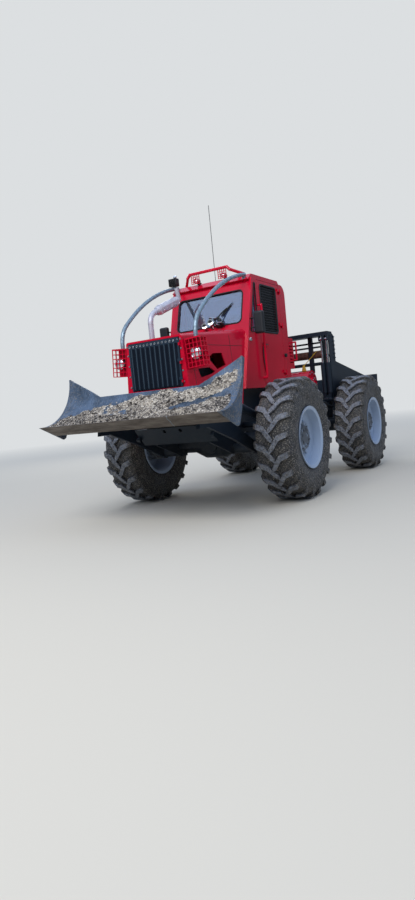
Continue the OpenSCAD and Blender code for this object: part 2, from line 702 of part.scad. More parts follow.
module rear_box() color(red) {
    difference() {
        block(box_rear, cab_rear - seat_gap, -cab_half + 10, cab_half - 10, 1620, 2050);
        for (z = [1700:45:1960]) block(-50, 70, -cab_half, cab_half, z, z + 14);
    }
    both_sides() {
        for (z = [1740, 1990]) bar_y(12, -55, z, cab_half - 12, cab_half + 40);
        bar_z(12, -55, cab_half + 40, 1740, 1990);
        for (z = [1740, 1990]) translate([-55, cab_half + 40, z]) sphere(r = 12);
    }
}
module side_tanks() color(chassis_blue) both_sides() {
    tank_half = 700;
    step_half = lift_half + 40;
    along_y(frame_half + seat_gap, tank_half) round_rect(170, 620, 740, 1320, 60);
    for (z = [560, 800, 1040]) {
        block(300, 590, tank_half - 2, step_half, z, z + 25);
        block(300, 590, step_half - 12, step_half, z, z + 60);
    }
    for (x = [300, 575]) block(x, x + 15, tank_half - 10, tank_half + 12, 560, 1100);
}

// Blade
blade_centre = [blade_tip_x - 26, blade_tip_z + sqrt(blade_r * blade_r - 26 * 26)];
sole_back = [blade_tip_x - 239, blade_tip_z - 109];
plate_corner = [blade_tip_x - 359, blade_tip_z - 163];
face_top_a = 208.7;
ear_top_a = 182;
face_low_a = 272.7;
edge_a = 262;
ear_z = blade_centre[1] + blade_r * sin(ear_top_a);
flat_z = blade_centre[1] + blade_r * sin(face_top_a);
function arc_points(r, a0, a1, n) = [for (i = [0:n]) polar(blade_centre, r, a0 + (a1 - a0) * i / n)];
module ring_sector(r0, r1, a0, a1) {
    translate(blade_centre) difference() {
        circle(r = r1);
        circle(r = r0);
        reach = 3 * r1;
        // Keep only the sector between the two angles
        polygon(concat([[0, 0]], [for (a = [a1:10:a0 + 360]) [reach * cos(a), reach * sin(a)]],
            [[reach * cos(a0), reach * sin(a0)]]));
    }
}
module moldboard() {
    difference() {
        along_y(-blade_half, blade_half) ring_sector(blade_r, blade_r + blade_t, ear_top_a, edge_a);
        // The upper edge is level in the middle and rises to the ears
        along_x(2400, blade_centre[0] - 100) polygon([[-blade_flat_half, flat_z],
            [blade_flat_half, flat_z], [blade_half + 1, ear_z + 1], [blade_half + 1, ear_z + 400],
            [-blade_half - 1, ear_z + 400], [-blade_half - 1, ear_z + 1]]);
    }
}
module end_plate_outline() {
    difference() {
        polygon([polar(blade_centre, blade_r + 2, face_low_a), [blade_tip_x - 2, blade_tip_z - 2],
            plate_corner, plate_corner + [-35, 16], plate_corner + [-104, 148], plate_corner + [-144, 299],
            polar(blade_centre, blade_r + 54, ear_top_a + 1.7), polar(blade_centre, blade_r, ear_top_a)]);
        translate(blade_centre) circle(r = blade_r);
    }
}
lift_eye = [2640, 1335];
cross_tube_r = 60;
module blade() color(worn_steel) {
    moldboard();
    both_sides() {
        along_y(blade_half - 20, blade_half) end_plate_outline();
        // Lugs of the lift cylinder
        for (y = [lift_half - 55, lift_half + 35]) along_y(y, y + 20) difference() {
            hull() {
                translate(lift_eye) circle(r = 45);
                polygon([polar(blade_centre, blade_r + 8, 207), polar(blade_centre, blade_r + 8, 228),
                    polar(blade_centre, blade_r + 40, 216)]);
            }
            translate(blade_centre) circle(r = blade_r + 5);
        }
        // Upright ribs on the moldboard's back
        for (y = [250, 1000]) along_y(y, y + 16) difference() {
            polygon([polar(blade_centre, blade_r + 8, 212), polar(blade_centre, blade_r + 70, 216),
                sole_back + [-14, 61], polar(blade_centre, blade_r + 8, 256)]);
            translate(blade_centre) circle(r = blade_r + 5);
        }
    }
}
module cutting_edge() color([0.42, 0.38, 0.34])
    along_y(-blade_half + 20 + seat_gap, blade_half - 20 - seat_gap)
        polygon([[blade_tip_x, blade_tip_z], polar(blade_centre, blade_r, edge_a + 0.04),
            polar(blade_centre, blade_r + blade_t + 10, edge_a + 0.04), [sole_back[0] + 10, sole_back[1] + 40],
            sole_back, [blade_tip_x - 6, blade_tip_z - 8]]);
module blade_frame() color(chassis_blue) {
    difference() {
        both_sides() {
            along_y(arm_half - arm_t / 2, arm_half + arm_t / 2) {
                polygon([[1600, 585], [2170, 815], [2700, 990], [2880, 985], [2820, 1310], [2720, 1300],
                    [2440, 1120], [1625, 733]]);
                translate(blade_pivot) circle(r = 75);
            }
        }
        both_sides() bar_y(blade_pin_r + run_gap, blade_pivot[0], blade_pivot[1], 500, 900);
        along_y(-900, 900) translate(blade_centre) circle(r = blade_r + blade_t + seat_gap);
    }
    bar_y(cross_tube_r, nose_x + cross_tube_r + 14, 1120, -arm_half, arm_half);
}
module lift_axis(p, y) {
    a = atan2(lift_eye[1] - lift_base[1], lift_eye[0] - lift_base[0]);
    translate([p[0], y, p[1]]) rotate([0, 90 - a, 0]) children();
}
lift_length = norm(lift_eye - lift_base);
module lift_barrels() color(chassis_blue) both_sides() difference() {
    union() {
        bar_y(40, lift_base[0], lift_base[1], lift_half - 25, lift_half + 25);
        lift_axis(lift_base, lift_half) cylinder(r = 24, h = 70);
        lift_axis(lift_base, lift_half) translate([0, 0, 62]) cylinder(r = lift_barrel_r, h = lift_length * 0.56);
    }
    bar_y(24 + run_gap, lift_base[0], lift_base[1], lift_half - 40, lift_half + 40);
    lift_axis(lift_base, lift_half) translate([0, 0, 85]) cylinder(r = 22 + run_gap, h = lift_length);
}
module lift_rods() color(steel) both_sides() {
    bar_y(38, lift_eye[0], lift_eye[1], lift_half - 34.5, lift_half + 34.5);
    lift_axis(lift_base, lift_half) translate([0, 0, 95]) cylinder(r = 22, h = lift_length - 115);
}

// Rear chassis
rear_front_x = -300;
hitch_x = -2130;
rail_top = 1100;
deck_z = rail_top + 20;
module rear_profile() {
    polygon([[rear_front_x, frame_low], [-1130, frame_low], [-1230, saddle_z], [-1520, saddle_z],
        [-1620, frame_low + 20], [-2040, frame_low + 20], [-2040, 860], [-1700, 1000], [-1160, rail_top],
        [rear_front_x, rail_top]]);
}
module rear_frame() color(chassis_blue) {
    both_sides() along_y(frame_half - frame_t, frame_half) rear_profile();
    block(rear_front_x - 25, rear_front_x, -frame_half, frame_half, frame_low, rail_top);
    block(-2040, -2015, -frame_half, frame_half, frame_low + 20, 860);
    block(-1150, -1125, -frame_half, frame_half, 900, rail_top - 10);
    block(-1000, rear_front_x, -winch_half, winch_half, rail_top, deck_z);
    // Drawbar jaw
    for (z = [700, 790]) along_z(z, z + 25) difference() {
        union() {
            translate([hitch_x, 0]) circle(r = 70);
            translate([hitch_x, -70]) square([110, 140]);
        }
        translate([hitch_x, 0]) circle(r = 21);
    }
}

// Tongue welded to the front plate, and the steering lugs beside it
tongue_low = ear_low[1] + 5;
tongue_high = ear_high[0] - 5;
module tongue() color(chassis_blue) {
    block(rear_front_x, -tongue_r, -60, 60, tongue_low, tongue_high);
    both_sides() for (z = [steer_z - 45, steer_z + 22.5]) along_z(z, z + 22.5) {
        translate(steer_eye) circle(r = 40);
        polygon([[steer_eye[0], steer_eye[1] - 40], [steer_eye[0], steer_eye[1] + 40],
            [rear_front_x, steer_eye[1] + 60], [rear_front_x, steer_eye[1] - 60]]);
    }
}

// Knuckle at the tongue's end, between the front ears, with its two pins
module knuckle() color(chassis_blue) {
    bar_z(tongue_r, 0, 0, tongue_low, tongue_high);
    block(-tongue_r, 0, -60, 60, tongue_low, tongue_high);
    bar_z(hinge_pin_r, 0, 0, ear_low[0] - 20, ear_high[1] + 20);
    bar_z(hinge_pin_r + 12, 0, 0, ear_high[1] + 1, ear_high[1] + 20);
}

// Sloping foot plates beside the winch, welded to the edges of its deck
foot_plate_w = 250;
foot_plate_t = 15;
module foot_plates() color(chassis_blue) {
    both_sides() along_y(winch_half, winch_half + foot_plate_w)
        polygon([[-440, deck_z + 6], [-440, deck_z + 6 - foot_plate_t],
            [-886, rail_top - 85 - foot_plate_t], [-886, rail_top - 85]]);
}

// Winch
winch_c = [-725, 1385];
module winch_plate(y0, y1) along_y(y0, y1) {
    translate(winch_c) circle(r = winch_r);
    polygon([[winch_c[0] - winch_r + 20, deck_z + seat_gap], [winch_c[0] + winch_r - 20, deck_z + seat_gap],
        [winch_c[0] + winch_r, winch_c[1]], [winch_c[0] - winch_r, winch_c[1]]]);
}
module winch_housing() color(red) {
    both_sides() {
        winch_plate(winch_half - 25, winch_half);
        bar_y(110, winch_c[0], winch_c[1], winch_half - 5, winch_half + 35);
        bar_y(45, winch_c[0], winch_c[1], winch_half + 30, winch_half + 50);
    }
    winch_plate(-15, 15);
    bar_y(30, winch_c[0], winch_c[1], -winch_half, winch_half);
    // Cover over the front and top, open at the back and below
    along_y(-winch_half, winch_half) difference() {
        translate(winch_c) circle(r = winch_r);
        translate(winch_c) circle(r = winch_r - 15);
        translate([winch_c[0] - 300, winch_c[1] - 300]) square([300, 460]);
        translate([winch_c[0] - 300, winch_c[1] - 300]) square([600, 200]);
    }
}
module drum() {
    y0 = 25;
    y1 = winch_half - 35;
    difference() {
        union() {
            bar_y(150, winch_c[0], winch_c[1], y0 + 20, y1 - 20);
            for (y = [y0, y1 - 20]) bar_y(178, winch_c[0], winch_c[1], y, y + 20);
        }
        bar_y(30 + run_gap, winch_c[0], winch_c[1], y0 - 1, y1 + 1);
    }
}
module drum_left() color([0.4, 0.41, 0.43]) drum();
module drum_right() color([0.4, 0.41, 0.43]) mirror([0, 1, 0]) drum();

// Arch with its rollers
cheek_in = [plate_half - 60, plate_half - 40];
cheek_out = [plate_half + 42, plate_half + 62];
shield_pivot = [-1300, 1220];
shield_eye = [-860, 1130];
rod_top = [-860, 2050];
post_front = -935;
post_y = [460, 520];
roller_c = [-1010, 1835];
module cheek_outline() {
    polygon([[post_front, arch_top], [-1045, arch_top], [-1165, arch_top - 65], [-1165, 1700],
        [-1420, 1330], [-1420, 1110], [-1180, 1050], [-1100, 820], [post_front, 820]]);
}
module arch() color(chassis_blue) {
    both_sides() {
        along_y(cheek_in[0], cheek_in[1]) cheek_outline();
        along_y(cheek_out[0], cheek_out[1]) cheek_outline();
        bar_y(35, shield_pivot[0], shield_pivot[1], cheek_in[0] - 8, cheek_out[1] + 6);
        // Ties between the cheeks, above and below the arm's slot
        block(-1150, post_front, cheek_in[0], cheek_out[1], 1790, 1815);
        block(-1090, post_front, cheek_in[0], cheek_out[1], 820, 845);
        // Box that carries the cheeks on the chassis
        block(-1090, post_front, frame_half + seat_gap, cheek_in[1], 850, 1030);
        // Column of bolt heads
        for (i = [0:5]) bar_y(14, -1120, 1764 + i * 64, cheek_out[1] - 1, cheek_out[1] + 12);
        // Lugs that guide the cylinder rods' eyes
        for (y = [[plate_half - 72, plate_half - 59.5], [plate_half - 20.5, plate_half + 20.5],
            [plate_half + 59.5, plate_half + 72]])
            block(-900, -820, y[0], y[1], rod_top[1] - 30, arch_top - 55);
        // Inner posts beside the rollers
        block(-1040, -980, post_y[0], post_y[1], 1560, arch_top - 55);
    }
    block(-1045, -820, -cheek_out[1] - 10, cheek_out[1] + 10, arch_top - 60, arch_top);
    for (z = [2015, 1950]) bar_y(14, -1010, z, -cheek_in[1], cheek_in[1]);
    bar_y(26, -1010, 1690, -cheek_in[1], cheek_in[1]);
    bar_y(26, -1010, 1585, -post_y[1], post_y[1]);
    bar_y(20, roller_c[0], roller_c[1], -cheek_in[1], cheek_in[1]);
}
module rollers() color(rust) difference() {
    union() {
        bar_y(roller_r, roller_c[0], roller_c[1], -post_y[0] + move_gap, post_y[0] - move_gap);
        both_sides() bar_y(roller_r, roller_c[0], roller_c[1], post_y[1] + move_gap, cheek_in[0] - move_gap);
    }
    bar_y(20 + run_gap, roller_c[0], roller_c[1], -900, 900);
}
module winch_line() color([0.85, 0.7, 0.1]) {
    guide = [-700, 470, winch_c[1] + winch_r + seat_gap];
    translate(guide) cylinder(r1 = 36, r2 = 16, h = 90);
    bar_between(guide + [0, 0, 80], [-968, 600, 1888], 5);
}

// Rear shield
shield_low = [-2690, 760];
module arm_outline() {
    difference() {
        union() {
            polygon([[-1215, 1730], [shield_x - 4, shield_top], [shield_x + 22, 1200],
                [shield_x + 76, 960], shield_low + [0, 2], [-2560, 820], [-1900, 1090], [-1300, 1130], [-900, 1085],
                [-840, 1090], [-830, 1170], [-1160, 1320], [-1215, 1420]]);
            translate(shield_eye) circle(r = 48);
            translate(shield_pivot) circle(r = 92);
        }
        translate(shield_pivot) circle(r = 35 + run_gap);
    }
}
module shield_arms() both_sides() {
    along_y(plate_half - plate_t / 2, plate_half + plate_t / 2) arm_outline();
    along_y(cheek_in[1] + 0.5, cheek_out[0] - 0.5) difference() {
        translate(shield_pivot) circle(r = 80);
        translate(shield_pivot) circle(r = 35 + run_gap);
    }
    // Pin of the cylinder pair
    bar_y(16, shield_eye[0], shield_eye[1], plate_half - 68, plate_half + 68);
}
module shield() color(chassis_blue) {
    t = shield_t;
    shield_arms();
    along_y(-shield_half, shield_half) polygon([[shield_x - t, shield_top], [shield_x, shield_top],
        [shield_x + 26, 1200], [shield_x + 80, 960], shield_low, shield_low + [-t, -12],
        [shield_x + 80 - t, 950], [shield_x + 26 - t, 1196]]);
    for (y = [-380, 0, 380]) along_y(y - 8, y + 8) polygon([[shield_x - 2, shield_top - 60],
        [shield_x + 70, 1350], [shield_x + 170, 900], [shield_low[0] - 2, shield_low[1] + 20],
        [shield_x + 78, 955], [shield_x + 24, 1200]]);
}
module shield_pair(z, r, h) {
    for (y = [plate_half - 40, plate_half + 40]) bar_z(r, shield_eye[0], y, z, z + h);
}
module shield_barrels() color(chassis_blue) both_sides() difference() {
    union() {
        shield_pair(shield_eye[1] + 100, 36, 460);
        for (y = [[plate_half - 58, plate_half - 17], [plate_half + 17, plate_half + 58]]) {
            bar_y(34, shield_eye[0], shield_eye[1], y[0], y[1]);
            block(shield_eye[0] - 22, shield_eye[0] + 22, y[0], y[1], shield_eye[1], shield_eye[1] + 102);
        }
    }
    bar_y(16 + run_gap, shield_eye[0], shield_eye[1], plate_half - 80, plate_half + 80);
    shield_pair(shield_eye[1] + 125, 17 + run_gap, 500);
}
module shield_rods() color(steel) both_sides() {
    shield_pair(shield_eye[1] + 400, 17, rod_top[1] - shield_eye[1] - 412);
    for (y = [-40, 40]) bar_y(26, rod_top[0], rod_top[1], plate_half + y - 19, plate_half + y + 19);
}

// Steering cylinders
steer_length = norm(steer_base - steer_eye);
module steer_axis() {
    a = atan2(steer_eye[1] - steer_base[1], steer_eye[0] - steer_base[0]);
    translate([steer_base[0], steer_base[1], steer_z]) rotate([0, 0, a]) rotate([0, 90, 0]) children();
}
module steer_barrel() difference() {
    union() {
        bar_z(40, steer_base[0], steer_base[1], steer_z - 22, steer_z + 22);
        steer_axis() cylinder(r = 20, h = 85);
        steer_axis() translate([0, 0, 75]) cylinder(r = 33, h = 390);
    }
    bar_z(20 + run_gap, steer_base[0], steer_base[1], steer_z - 40, steer_z + 40);
    steer_axis() translate([0, 0, 95]) cylinder(r = 18 + run_gap, h = steer_length);
}
module steer_rod() {
    bar_z(32, steer_eye[0], steer_eye[1], steer_z - 22, steer_z + 22);
    steer_axis() translate([0, 0, 270]) cylinder(r = 18, h = steer_length - 285);
}
module steer_barrel_left() color(chassis_blue) steer_barrel();
module steer_barrel_right() color(chassis_blue) mirror([0, 1, 0]) steer_barrel();
module steer_rod_left() color(steel) steer_rod();
module steer_rod_right() color(steel) mirror([0, 1, 0]) steer_rod();

module placed() translate([-length_mid, 0, 0]) children();

placed() front_frame();
placed() front_axle();
placed() engine_block();
placed() hood();
placed() grille();
placed() lamps();
placed() lamp_guards();
placed() brush_hoops();
placed() exhaust();
placed() cab_shell();
placed() cab_roof();
placed() cab_windows();
placed() door_left();
placed() door_right();
placed() door_left_glass();
placed() door_right_glass();
placed() grab_rails();
placed() mirrors();
placed() antenna();
placed() seat();
placed() console();
placed() rear_box();
placed() side_tanks();
placed() blade();
placed() cutting_edge();
placed() blade_frame();
placed() lift_barrels();
placed() lift_rods();
placed() rear_frame();
placed() tongue();
placed() knuckle();
placed() foot_plates();
placed() rear_axle();
placed() winch_housing();
placed() drum_left();
placed() drum_right();
placed() arch();
placed() rollers();
placed() winch_line();
placed() shield();
placed() shield_barrels();
placed() shield_rods();
placed() steer_barrel_left();
placed() steer_barrel_right();
placed() steer_rod_left();
placed() steer_rod_right();
placed() tyre_front_left();
placed() tyre_front_right();
placed() tyre_rear_left();
placed() tyre_rear_right();
placed() rim_front_left();
placed() rim_front_right();
placed() rim_rear_left();
placed() rim_rear_right();
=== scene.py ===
import math

import bmesh
import bpy
from mathutils import Matrix, Vector, noise


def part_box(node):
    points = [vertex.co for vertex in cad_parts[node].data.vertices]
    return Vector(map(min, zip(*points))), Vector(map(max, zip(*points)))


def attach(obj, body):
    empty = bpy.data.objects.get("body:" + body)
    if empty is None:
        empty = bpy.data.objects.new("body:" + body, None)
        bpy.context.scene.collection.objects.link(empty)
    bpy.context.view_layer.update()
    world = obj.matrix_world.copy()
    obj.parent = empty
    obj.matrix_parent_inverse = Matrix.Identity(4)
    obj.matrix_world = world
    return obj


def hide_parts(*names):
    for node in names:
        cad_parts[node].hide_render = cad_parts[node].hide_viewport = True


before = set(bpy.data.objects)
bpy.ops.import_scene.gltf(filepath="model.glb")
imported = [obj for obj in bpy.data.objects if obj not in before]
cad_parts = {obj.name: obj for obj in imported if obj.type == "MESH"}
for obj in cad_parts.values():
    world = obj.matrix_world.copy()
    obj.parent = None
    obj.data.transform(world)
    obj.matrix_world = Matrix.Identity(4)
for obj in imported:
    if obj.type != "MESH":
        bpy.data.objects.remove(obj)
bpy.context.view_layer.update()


# Camera
# The machine is seen from its front left, from hood height and with a wide lens. The stand and the angles
# were worked out from the four wheels, the cab front and the blade, from the point between the axles.
def placed(name, data):
    """A new object in the scene."""
    obj = bpy.data.objects.new(name, data)
    bpy.context.scene.collection.objects.link(obj)
    return obj


axle_front, axle_rear = (sum(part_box(f"tyre_{end}_left"), Vector()) / 2 for end in ("front", "rear"))
ground_mid = Vector(((axle_front.x + axle_rear.x) / 2, 0, 0))
stand_from_mid = Vector((8.315, 3.974, 1.208))
heading, pitch, roll = (math.radians(angle) for angle in (210.706, -4.023, -5.661))
focal_px, frame_height_px, film_mm = 620.8, 900, 36

ahead = Vector((math.cos(pitch) * math.cos(heading), math.cos(pitch) * math.sin(heading), math.sin(pitch)))
level = Vector((math.sin(heading), -math.cos(heading), 0))
upright = level.cross(ahead)
right = math.cos(roll) * level + math.sin(roll) * upright
top = math.cos(roll) * upright - math.sin(roll) * level
camera = placed("camera", bpy.data.cameras.new("camera"))
camera.data.sensor_width = film_mm
camera.data.lens = film_mm * focal_px / frame_height_px
view_turn = Matrix((right, top, -ahead)).transposed().to_4x4()
camera.matrix_world = Matrix.Translation(ground_mid + stand_from_mid) @ view_turn
bpy.context.scene.camera = camera
bpy.context.scene.view_settings.view_transform = "Standard"


# Studio
# A pale floor and a pale surround of the same tone for the camera. Light and reflections come from a bright
# overcast sky over a dark line of trees, as in a clearing, and two large lamps give the panels their shape.
def srgb(code):
    """Linear colour from a six-figure sRGB hex value."""
    parts = [int(code[i:i + 2], 16) / 255 for i in (1, 3, 5)]
    return (*[c / 12.92 if c <= 0.04045 else ((c + 0.055) / 1.055) ** 2.4 for c in parts], 1.0)


def feed(node, inputs):
    """Give a node's inputs values, hex colours, sockets to link from, or nodes for their first output."""
    for key, value in inputs.items():
        if isinstance(value, bpy.types.Node):
            value = next(socket for socket in value.outputs if socket.enabled)
        if isinstance(value, bpy.types.NodeSocket):
            node.id_data.links.new(value, node.inputs[key])
        else:
            node.inputs[key].default_value = srgb(value) if str(value).startswith("#") else value
    return node


def add_node(tree, kind, inputs=None, **settings):
    """Add a node with its settings and inputs. A kind that doesn't say Node is a shader node."""
    node = tree.nodes.new(kind if "Node" in kind else "ShaderNode" + kind)
    for name, value in settings.items():
        setattr(node, name, value)
    return feed(node, inputs or {})


surround = "#dcdfe1"
world = bpy.data.worlds.new("overcast_clearing")
world.use_nodes = True
bpy.context.scene.world = world
sky = world.node_tree
climb = add_node(sky, "SeparateXYZ", {0: add_node(sky, "TexCoord").outputs["Generated"]}).outputs["Z"]
over_trees = add_node(sky, "MapRange", {"Value": climb, "From Min": 0.08, "From Max": 0.45})
sky_tone = add_node(sky, "Mix", {0: over_trees, 6: "#4a504f", 7: "#c3d5f5"}, data_type="RGBA")
sky_light = feed(sky.nodes["Background"], {"Color": sky_tone, "Strength": 1.1})
eye_rays = add_node(sky, "LightPath").outputs["Is Camera Ray"]
backdrop = add_node(sky, "Background", {"Color": surround, "Strength": 1.0})
feed(sky.nodes["World Output"],
     {"Surface": add_node(sky, "MixShader", {0: eye_rays, 1: sky_light, 2: backdrop})})

# The floor is lit to the backdrop's tone far off, so that no edge of it shows
floor_reach = 400.0
bpy.ops.mesh.primitive_plane_add(size=2 * floor_reach)
floor = bpy.context.object
floor.name = "studio_floor"
floor_paint = bpy.data.materials.new("pale_floor_paint")
floor_paint.use_nodes = True
floor_tree = floor_paint.node_tree
floor_shader = feed(floor_tree.nodes["Principled BSDF"],
                    {"Base Color": "#cbc3b3", "Roughness": 1.0, "Specular IOR Level": 0.0})
floor_place = add_node(floor_tree, "TexCoord").outputs["Object"]
reach = add_node(floor_tree, "VectorMath", {0: floor_place}, operation="LENGTH").outputs["Value"]
away = add_node(floor_tree, "MapRange", {"Value": reach, "From Min": 6.0, "From Max": 26.0})
eye = add_node(floor_tree, "LightPath").outputs["Is Camera Ray"]
far_share = add_node(floor_tree, "Math", {0: away, 1: eye}, operation="MULTIPLY")
far_tone = add_node(floor_tree, "Emission", {"Color": surround, "Strength": 1.0})
fade_out = add_node(floor_tree, "MixShader", {0: far_share, 1: floor_shader, 2: far_tone})
feed(floor_tree.nodes["Material Output"], {"Surface": fade_out})
floor.data.materials.append(floor_paint)

lamp_size, lamp_aim = 6.0, Vector((0, 0, 1.3))
for name, place, power in (("key", (9.5, 1.5, 8.5), 720), ("rim", (-7.0, -6.5, 7.0), 280)):
    lamp = placed(name, bpy.data.lights.new(name, "AREA"))
    lamp.data.size = lamp_size
    lamp.data.energy = power
    lamp.location = place
    lamp.rotation_euler = (lamp_aim - Vector(place)).to_track_quat("-Z", "Y").to_euler()


# Red panels
# Hood, cab, doors, roof, box, winch casing and the lamp cages are folded or welded sheet steel, sprayed
# with gloss enamel. It shines like wet glass over a fine orange peel, and forest dust dulls its lower edges.
def start_material(name):
    """A material with its tree, its shader and the piece's own coordinates in metres."""
    material = bpy.data.materials.new(name)
    material.use_nodes = True
    tree = material.node_tree
    place = add_node(tree, "TexCoord").outputs["Object"]
    return material, tree, tree.nodes["Principled BSDF"], place


def patches(tree, place, per_metre, detail, roughness, start, full, least=0.0, most=1.0):
    """Irregular patches: noise that turns from least, at its level start, to most, at its level full."""
    cloud = add_node(tree, "TexNoise", {"Vector": place, "Scale": per_metre, "Detail": detail,
                                        "Roughness": roughness})
    return add_node(tree, "MapRange", {"Value": cloud, "From Min": start, "From Max": full,
                                       "To Min": least, "To Max": most})


def enamel(name, fresh, faded, gloss_roughness, coat, dust_line, dust_most, dust_least, dust_tone, peel):
    """Sprayed enamel that fades in wide blotches and gathers dust below dust_line."""
    material, tree, shader, place = start_material(name)
    fade = patches(tree, place, 1.7, 3.0, 0.5, 0.35, 0.7)
    paint = add_node(tree, "Mix", {0: fade, 6: fresh, 7: faded}, data_type="RGBA")
    height = add_node(tree, "SeparateXYZ", {0: place}).outputs["Z"]
    settled = add_node(tree, "MapRange", {"Value": height, "From Min": dust_line,
                                          "From Max": dust_line - 0.75, "To Min": dust_least,
                                          "To Max": dust_most})
    # Dust lies in flecks about 7 cm across, with grains down to a few millimetres
    flecks = patches(tree, place, 14.0, 9.0, 0.7, 0.38, 0.66)
    dust = add_node(tree, "Math", {0: settled, 1: flecks}, operation="MULTIPLY")
    surface = add_node(tree, "Mix", {0: dust, 6: paint, 7: dust_tone}, data_type="RGBA")
    gloss = add_node(tree, "MapRange", {"Value": dust, "From Min": 0.0, "From Max": 0.6,
                                        "To Min": gloss_roughness, "To Max": 0.85})
    # Orange peel about 4 mm across, over shallow waves in the sheet
    waves = add_node(tree, "TexNoise", {"Vector": place, "Scale": 4.0, "Detail": 2.0})
    fine = add_node(tree, "TexNoise", {"Vector": place, "Scale": 260.0, "Detail": 2.0})
    wavy = add_node(tree, "Bump", {"Height": waves, "Strength": 0.25, "Distance": 0.004})
    relief = add_node(tree, "Bump", {"Height": fine, "Strength": peel, "Distance": 0.0006, "Normal": wavy})
    feed(shader, {"Base Color": surface, "Roughness": gloss, "IOR": 1.3, "Coat Weight": coat,
                  "Coat Roughness": 0.06, "Coat IOR": 1.4, "Normal": relief})
    return material


def coat_nodes(material, *nodes):
    """Give CAD nodes their finish."""
    for name in nodes:
        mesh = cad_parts[name].data
        mesh.materials.clear()
        mesh.materials.append(material)


# Deep signal red that stays wet-looking above the hub line
panel_red = enamel("gloss_red_enamel", "#d20a30", "#c0092b", 0.2, 0.5, 1.3, 0.25, 0.0, "#7d7365", 0.1)
coat_nodes(panel_red, "hood", "cab_shell", "cab_roof", "door_left", "door_right", "grab_rails", "rear_box",
           "winch_housing", "lamp_guards")

# Chassis, axles and frames
# Thick flame-cut plate, welded and painted in dark blue-grey, dull with dried mud below the hub line.
mud_tone = "#5c564b"
chassis_paint = enamel("blue_grey_chassis_enamel", "#18212c", "#1d2833", 0.4, 0.08, 0.95, 0.5, 0.03, mud_tone,
                       0.25)
coat_nodes(chassis_paint, "front_frame", "front_axle", "side_tanks", "blade_frame", "lift_barrels",
           "rear_frame", "tongue", "knuckle", "foot_plates", "rear_axle", "arch", "shield",
           "shield_barrels", "steer_barrel_left", "steer_barrel_right")

# Grille door
# Folded sheet, newer and cleaner than the chassis. The crests of its folds are painted pale as a painted
# highlight, its frame's paler slate tone is partly painted light, and shade and soot fill the folds.
grille_paint = enamel("night_blue_grille_enamel", "#0b1420", "#0f1824", 0.36, 0.1, 1.4, 0.1, 0.0, mud_tone,
                      0.15)
grille_tree = grille_paint.node_tree
grille_shader = grille_tree.nodes["Principled BSDF"]
grille_colour = grille_shader.inputs["Base Color"].links[0].from_socket
grille_place = add_node(grille_tree, "TexCoord").outputs["Object"]
grille_parts = add_node(grille_tree, "SeparateXYZ", {0: grille_place}).outputs
rib_pitch, ribs_half, ribs_top = 0.0638, 0.319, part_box("grille")[1].z - 0.06
crest_at = 0.46
ribs_from_edge = add_node(grille_tree, "Math", {0: grille_parts["Y"], 1: 1 / rib_pitch,
                                                2: ribs_half / rib_pitch}, operation="MULTIPLY_ADD")
in_rib = add_node(grille_tree, "Math", {0: ribs_from_edge}, operation="FRACT")
past_crest = add_node(grille_tree, "Math", {0: in_rib, 1: crest_at}, operation="SUBTRACT")
from_crest = add_node(grille_tree, "Math", {0: past_crest}, operation="ABSOLUTE")
# Painted highlight: each fold's crest is painted pale, where light catches it
crest_highlight = add_node(grille_tree, "MapRange", {"Value": from_crest, "From Min": 0.06, "From Max": 0.13,
                                           "To Min": 1.0, "To Max": 0.0})
folds = add_node(grille_tree, "Mix", {0: crest_highlight, 6: grille_colour, 7: "#35444f"}, data_type="RGBA")
# The frame round the ribs is painted a paler slate tone, partly its own tone and partly painted light on the
# lit frame
out_from_mid = add_node(grille_tree, "Math", {0: grille_parts["Y"]}, operation="ABSOLUTE")
beside = add_node(grille_tree, "Math", {0: out_from_mid, 1: ribs_half}, operation="GREATER_THAN")
above = add_node(grille_tree, "Math", {0: grille_parts["Z"], 1: ribs_top}, operation="GREATER_THAN")
frame_light_share = add_node(grille_tree, "Math", {0: beside, 1: above}, operation="MAXIMUM")
feed(grille_shader, {"Base Color": add_node(grille_tree, "Mix", {0: frame_light_share, 6: folds, 7: "#25323f"},
                                            data_type="RGBA")})
coat_nodes(grille_paint, "grille")


# Rims
# Pressed steel rims in pale blue-grey. Mud is caked round the hub and thrown over the well in streaks.
def distance_from_spindle(tree, place):
    """How far a point is from the line through the nearer pair of wheel centres."""
    parts = add_node(tree, "SeparateXYZ", {0: place}).outputs
    from_mid = add_node(tree, "Math", {0: parts["X"], 1: -ground_mid.x}, operation="ADD")
    along = add_node(tree, "Math", {0: from_mid}, operation="ABSOLUTE")
    along = add_node(tree, "Math", {0: along, 1: axle_front.x - ground_mid.x}, operation="SUBTRACT")
    up = add_node(tree, "Math", {0: parts["Z"], 1: axle_front.z}, operation="SUBTRACT")
    flat = add_node(tree, "CombineXYZ", {0: along, 1: up})
    return add_node(tree, "VectorMath", {0: flat}, operation="LENGTH").outputs["Value"]


rim_paint, rim_tree, rim_shader, rim_place = start_material("muddy_pale_rim_enamel")
rim_radius = distance_from_spindle(rim_tree, rim_place)
splash = add_node(rim_tree, "TexNoise", {"Vector": rim_place, "Scale": 9.0, "Detail": 8.0, "Roughness": 0.65})
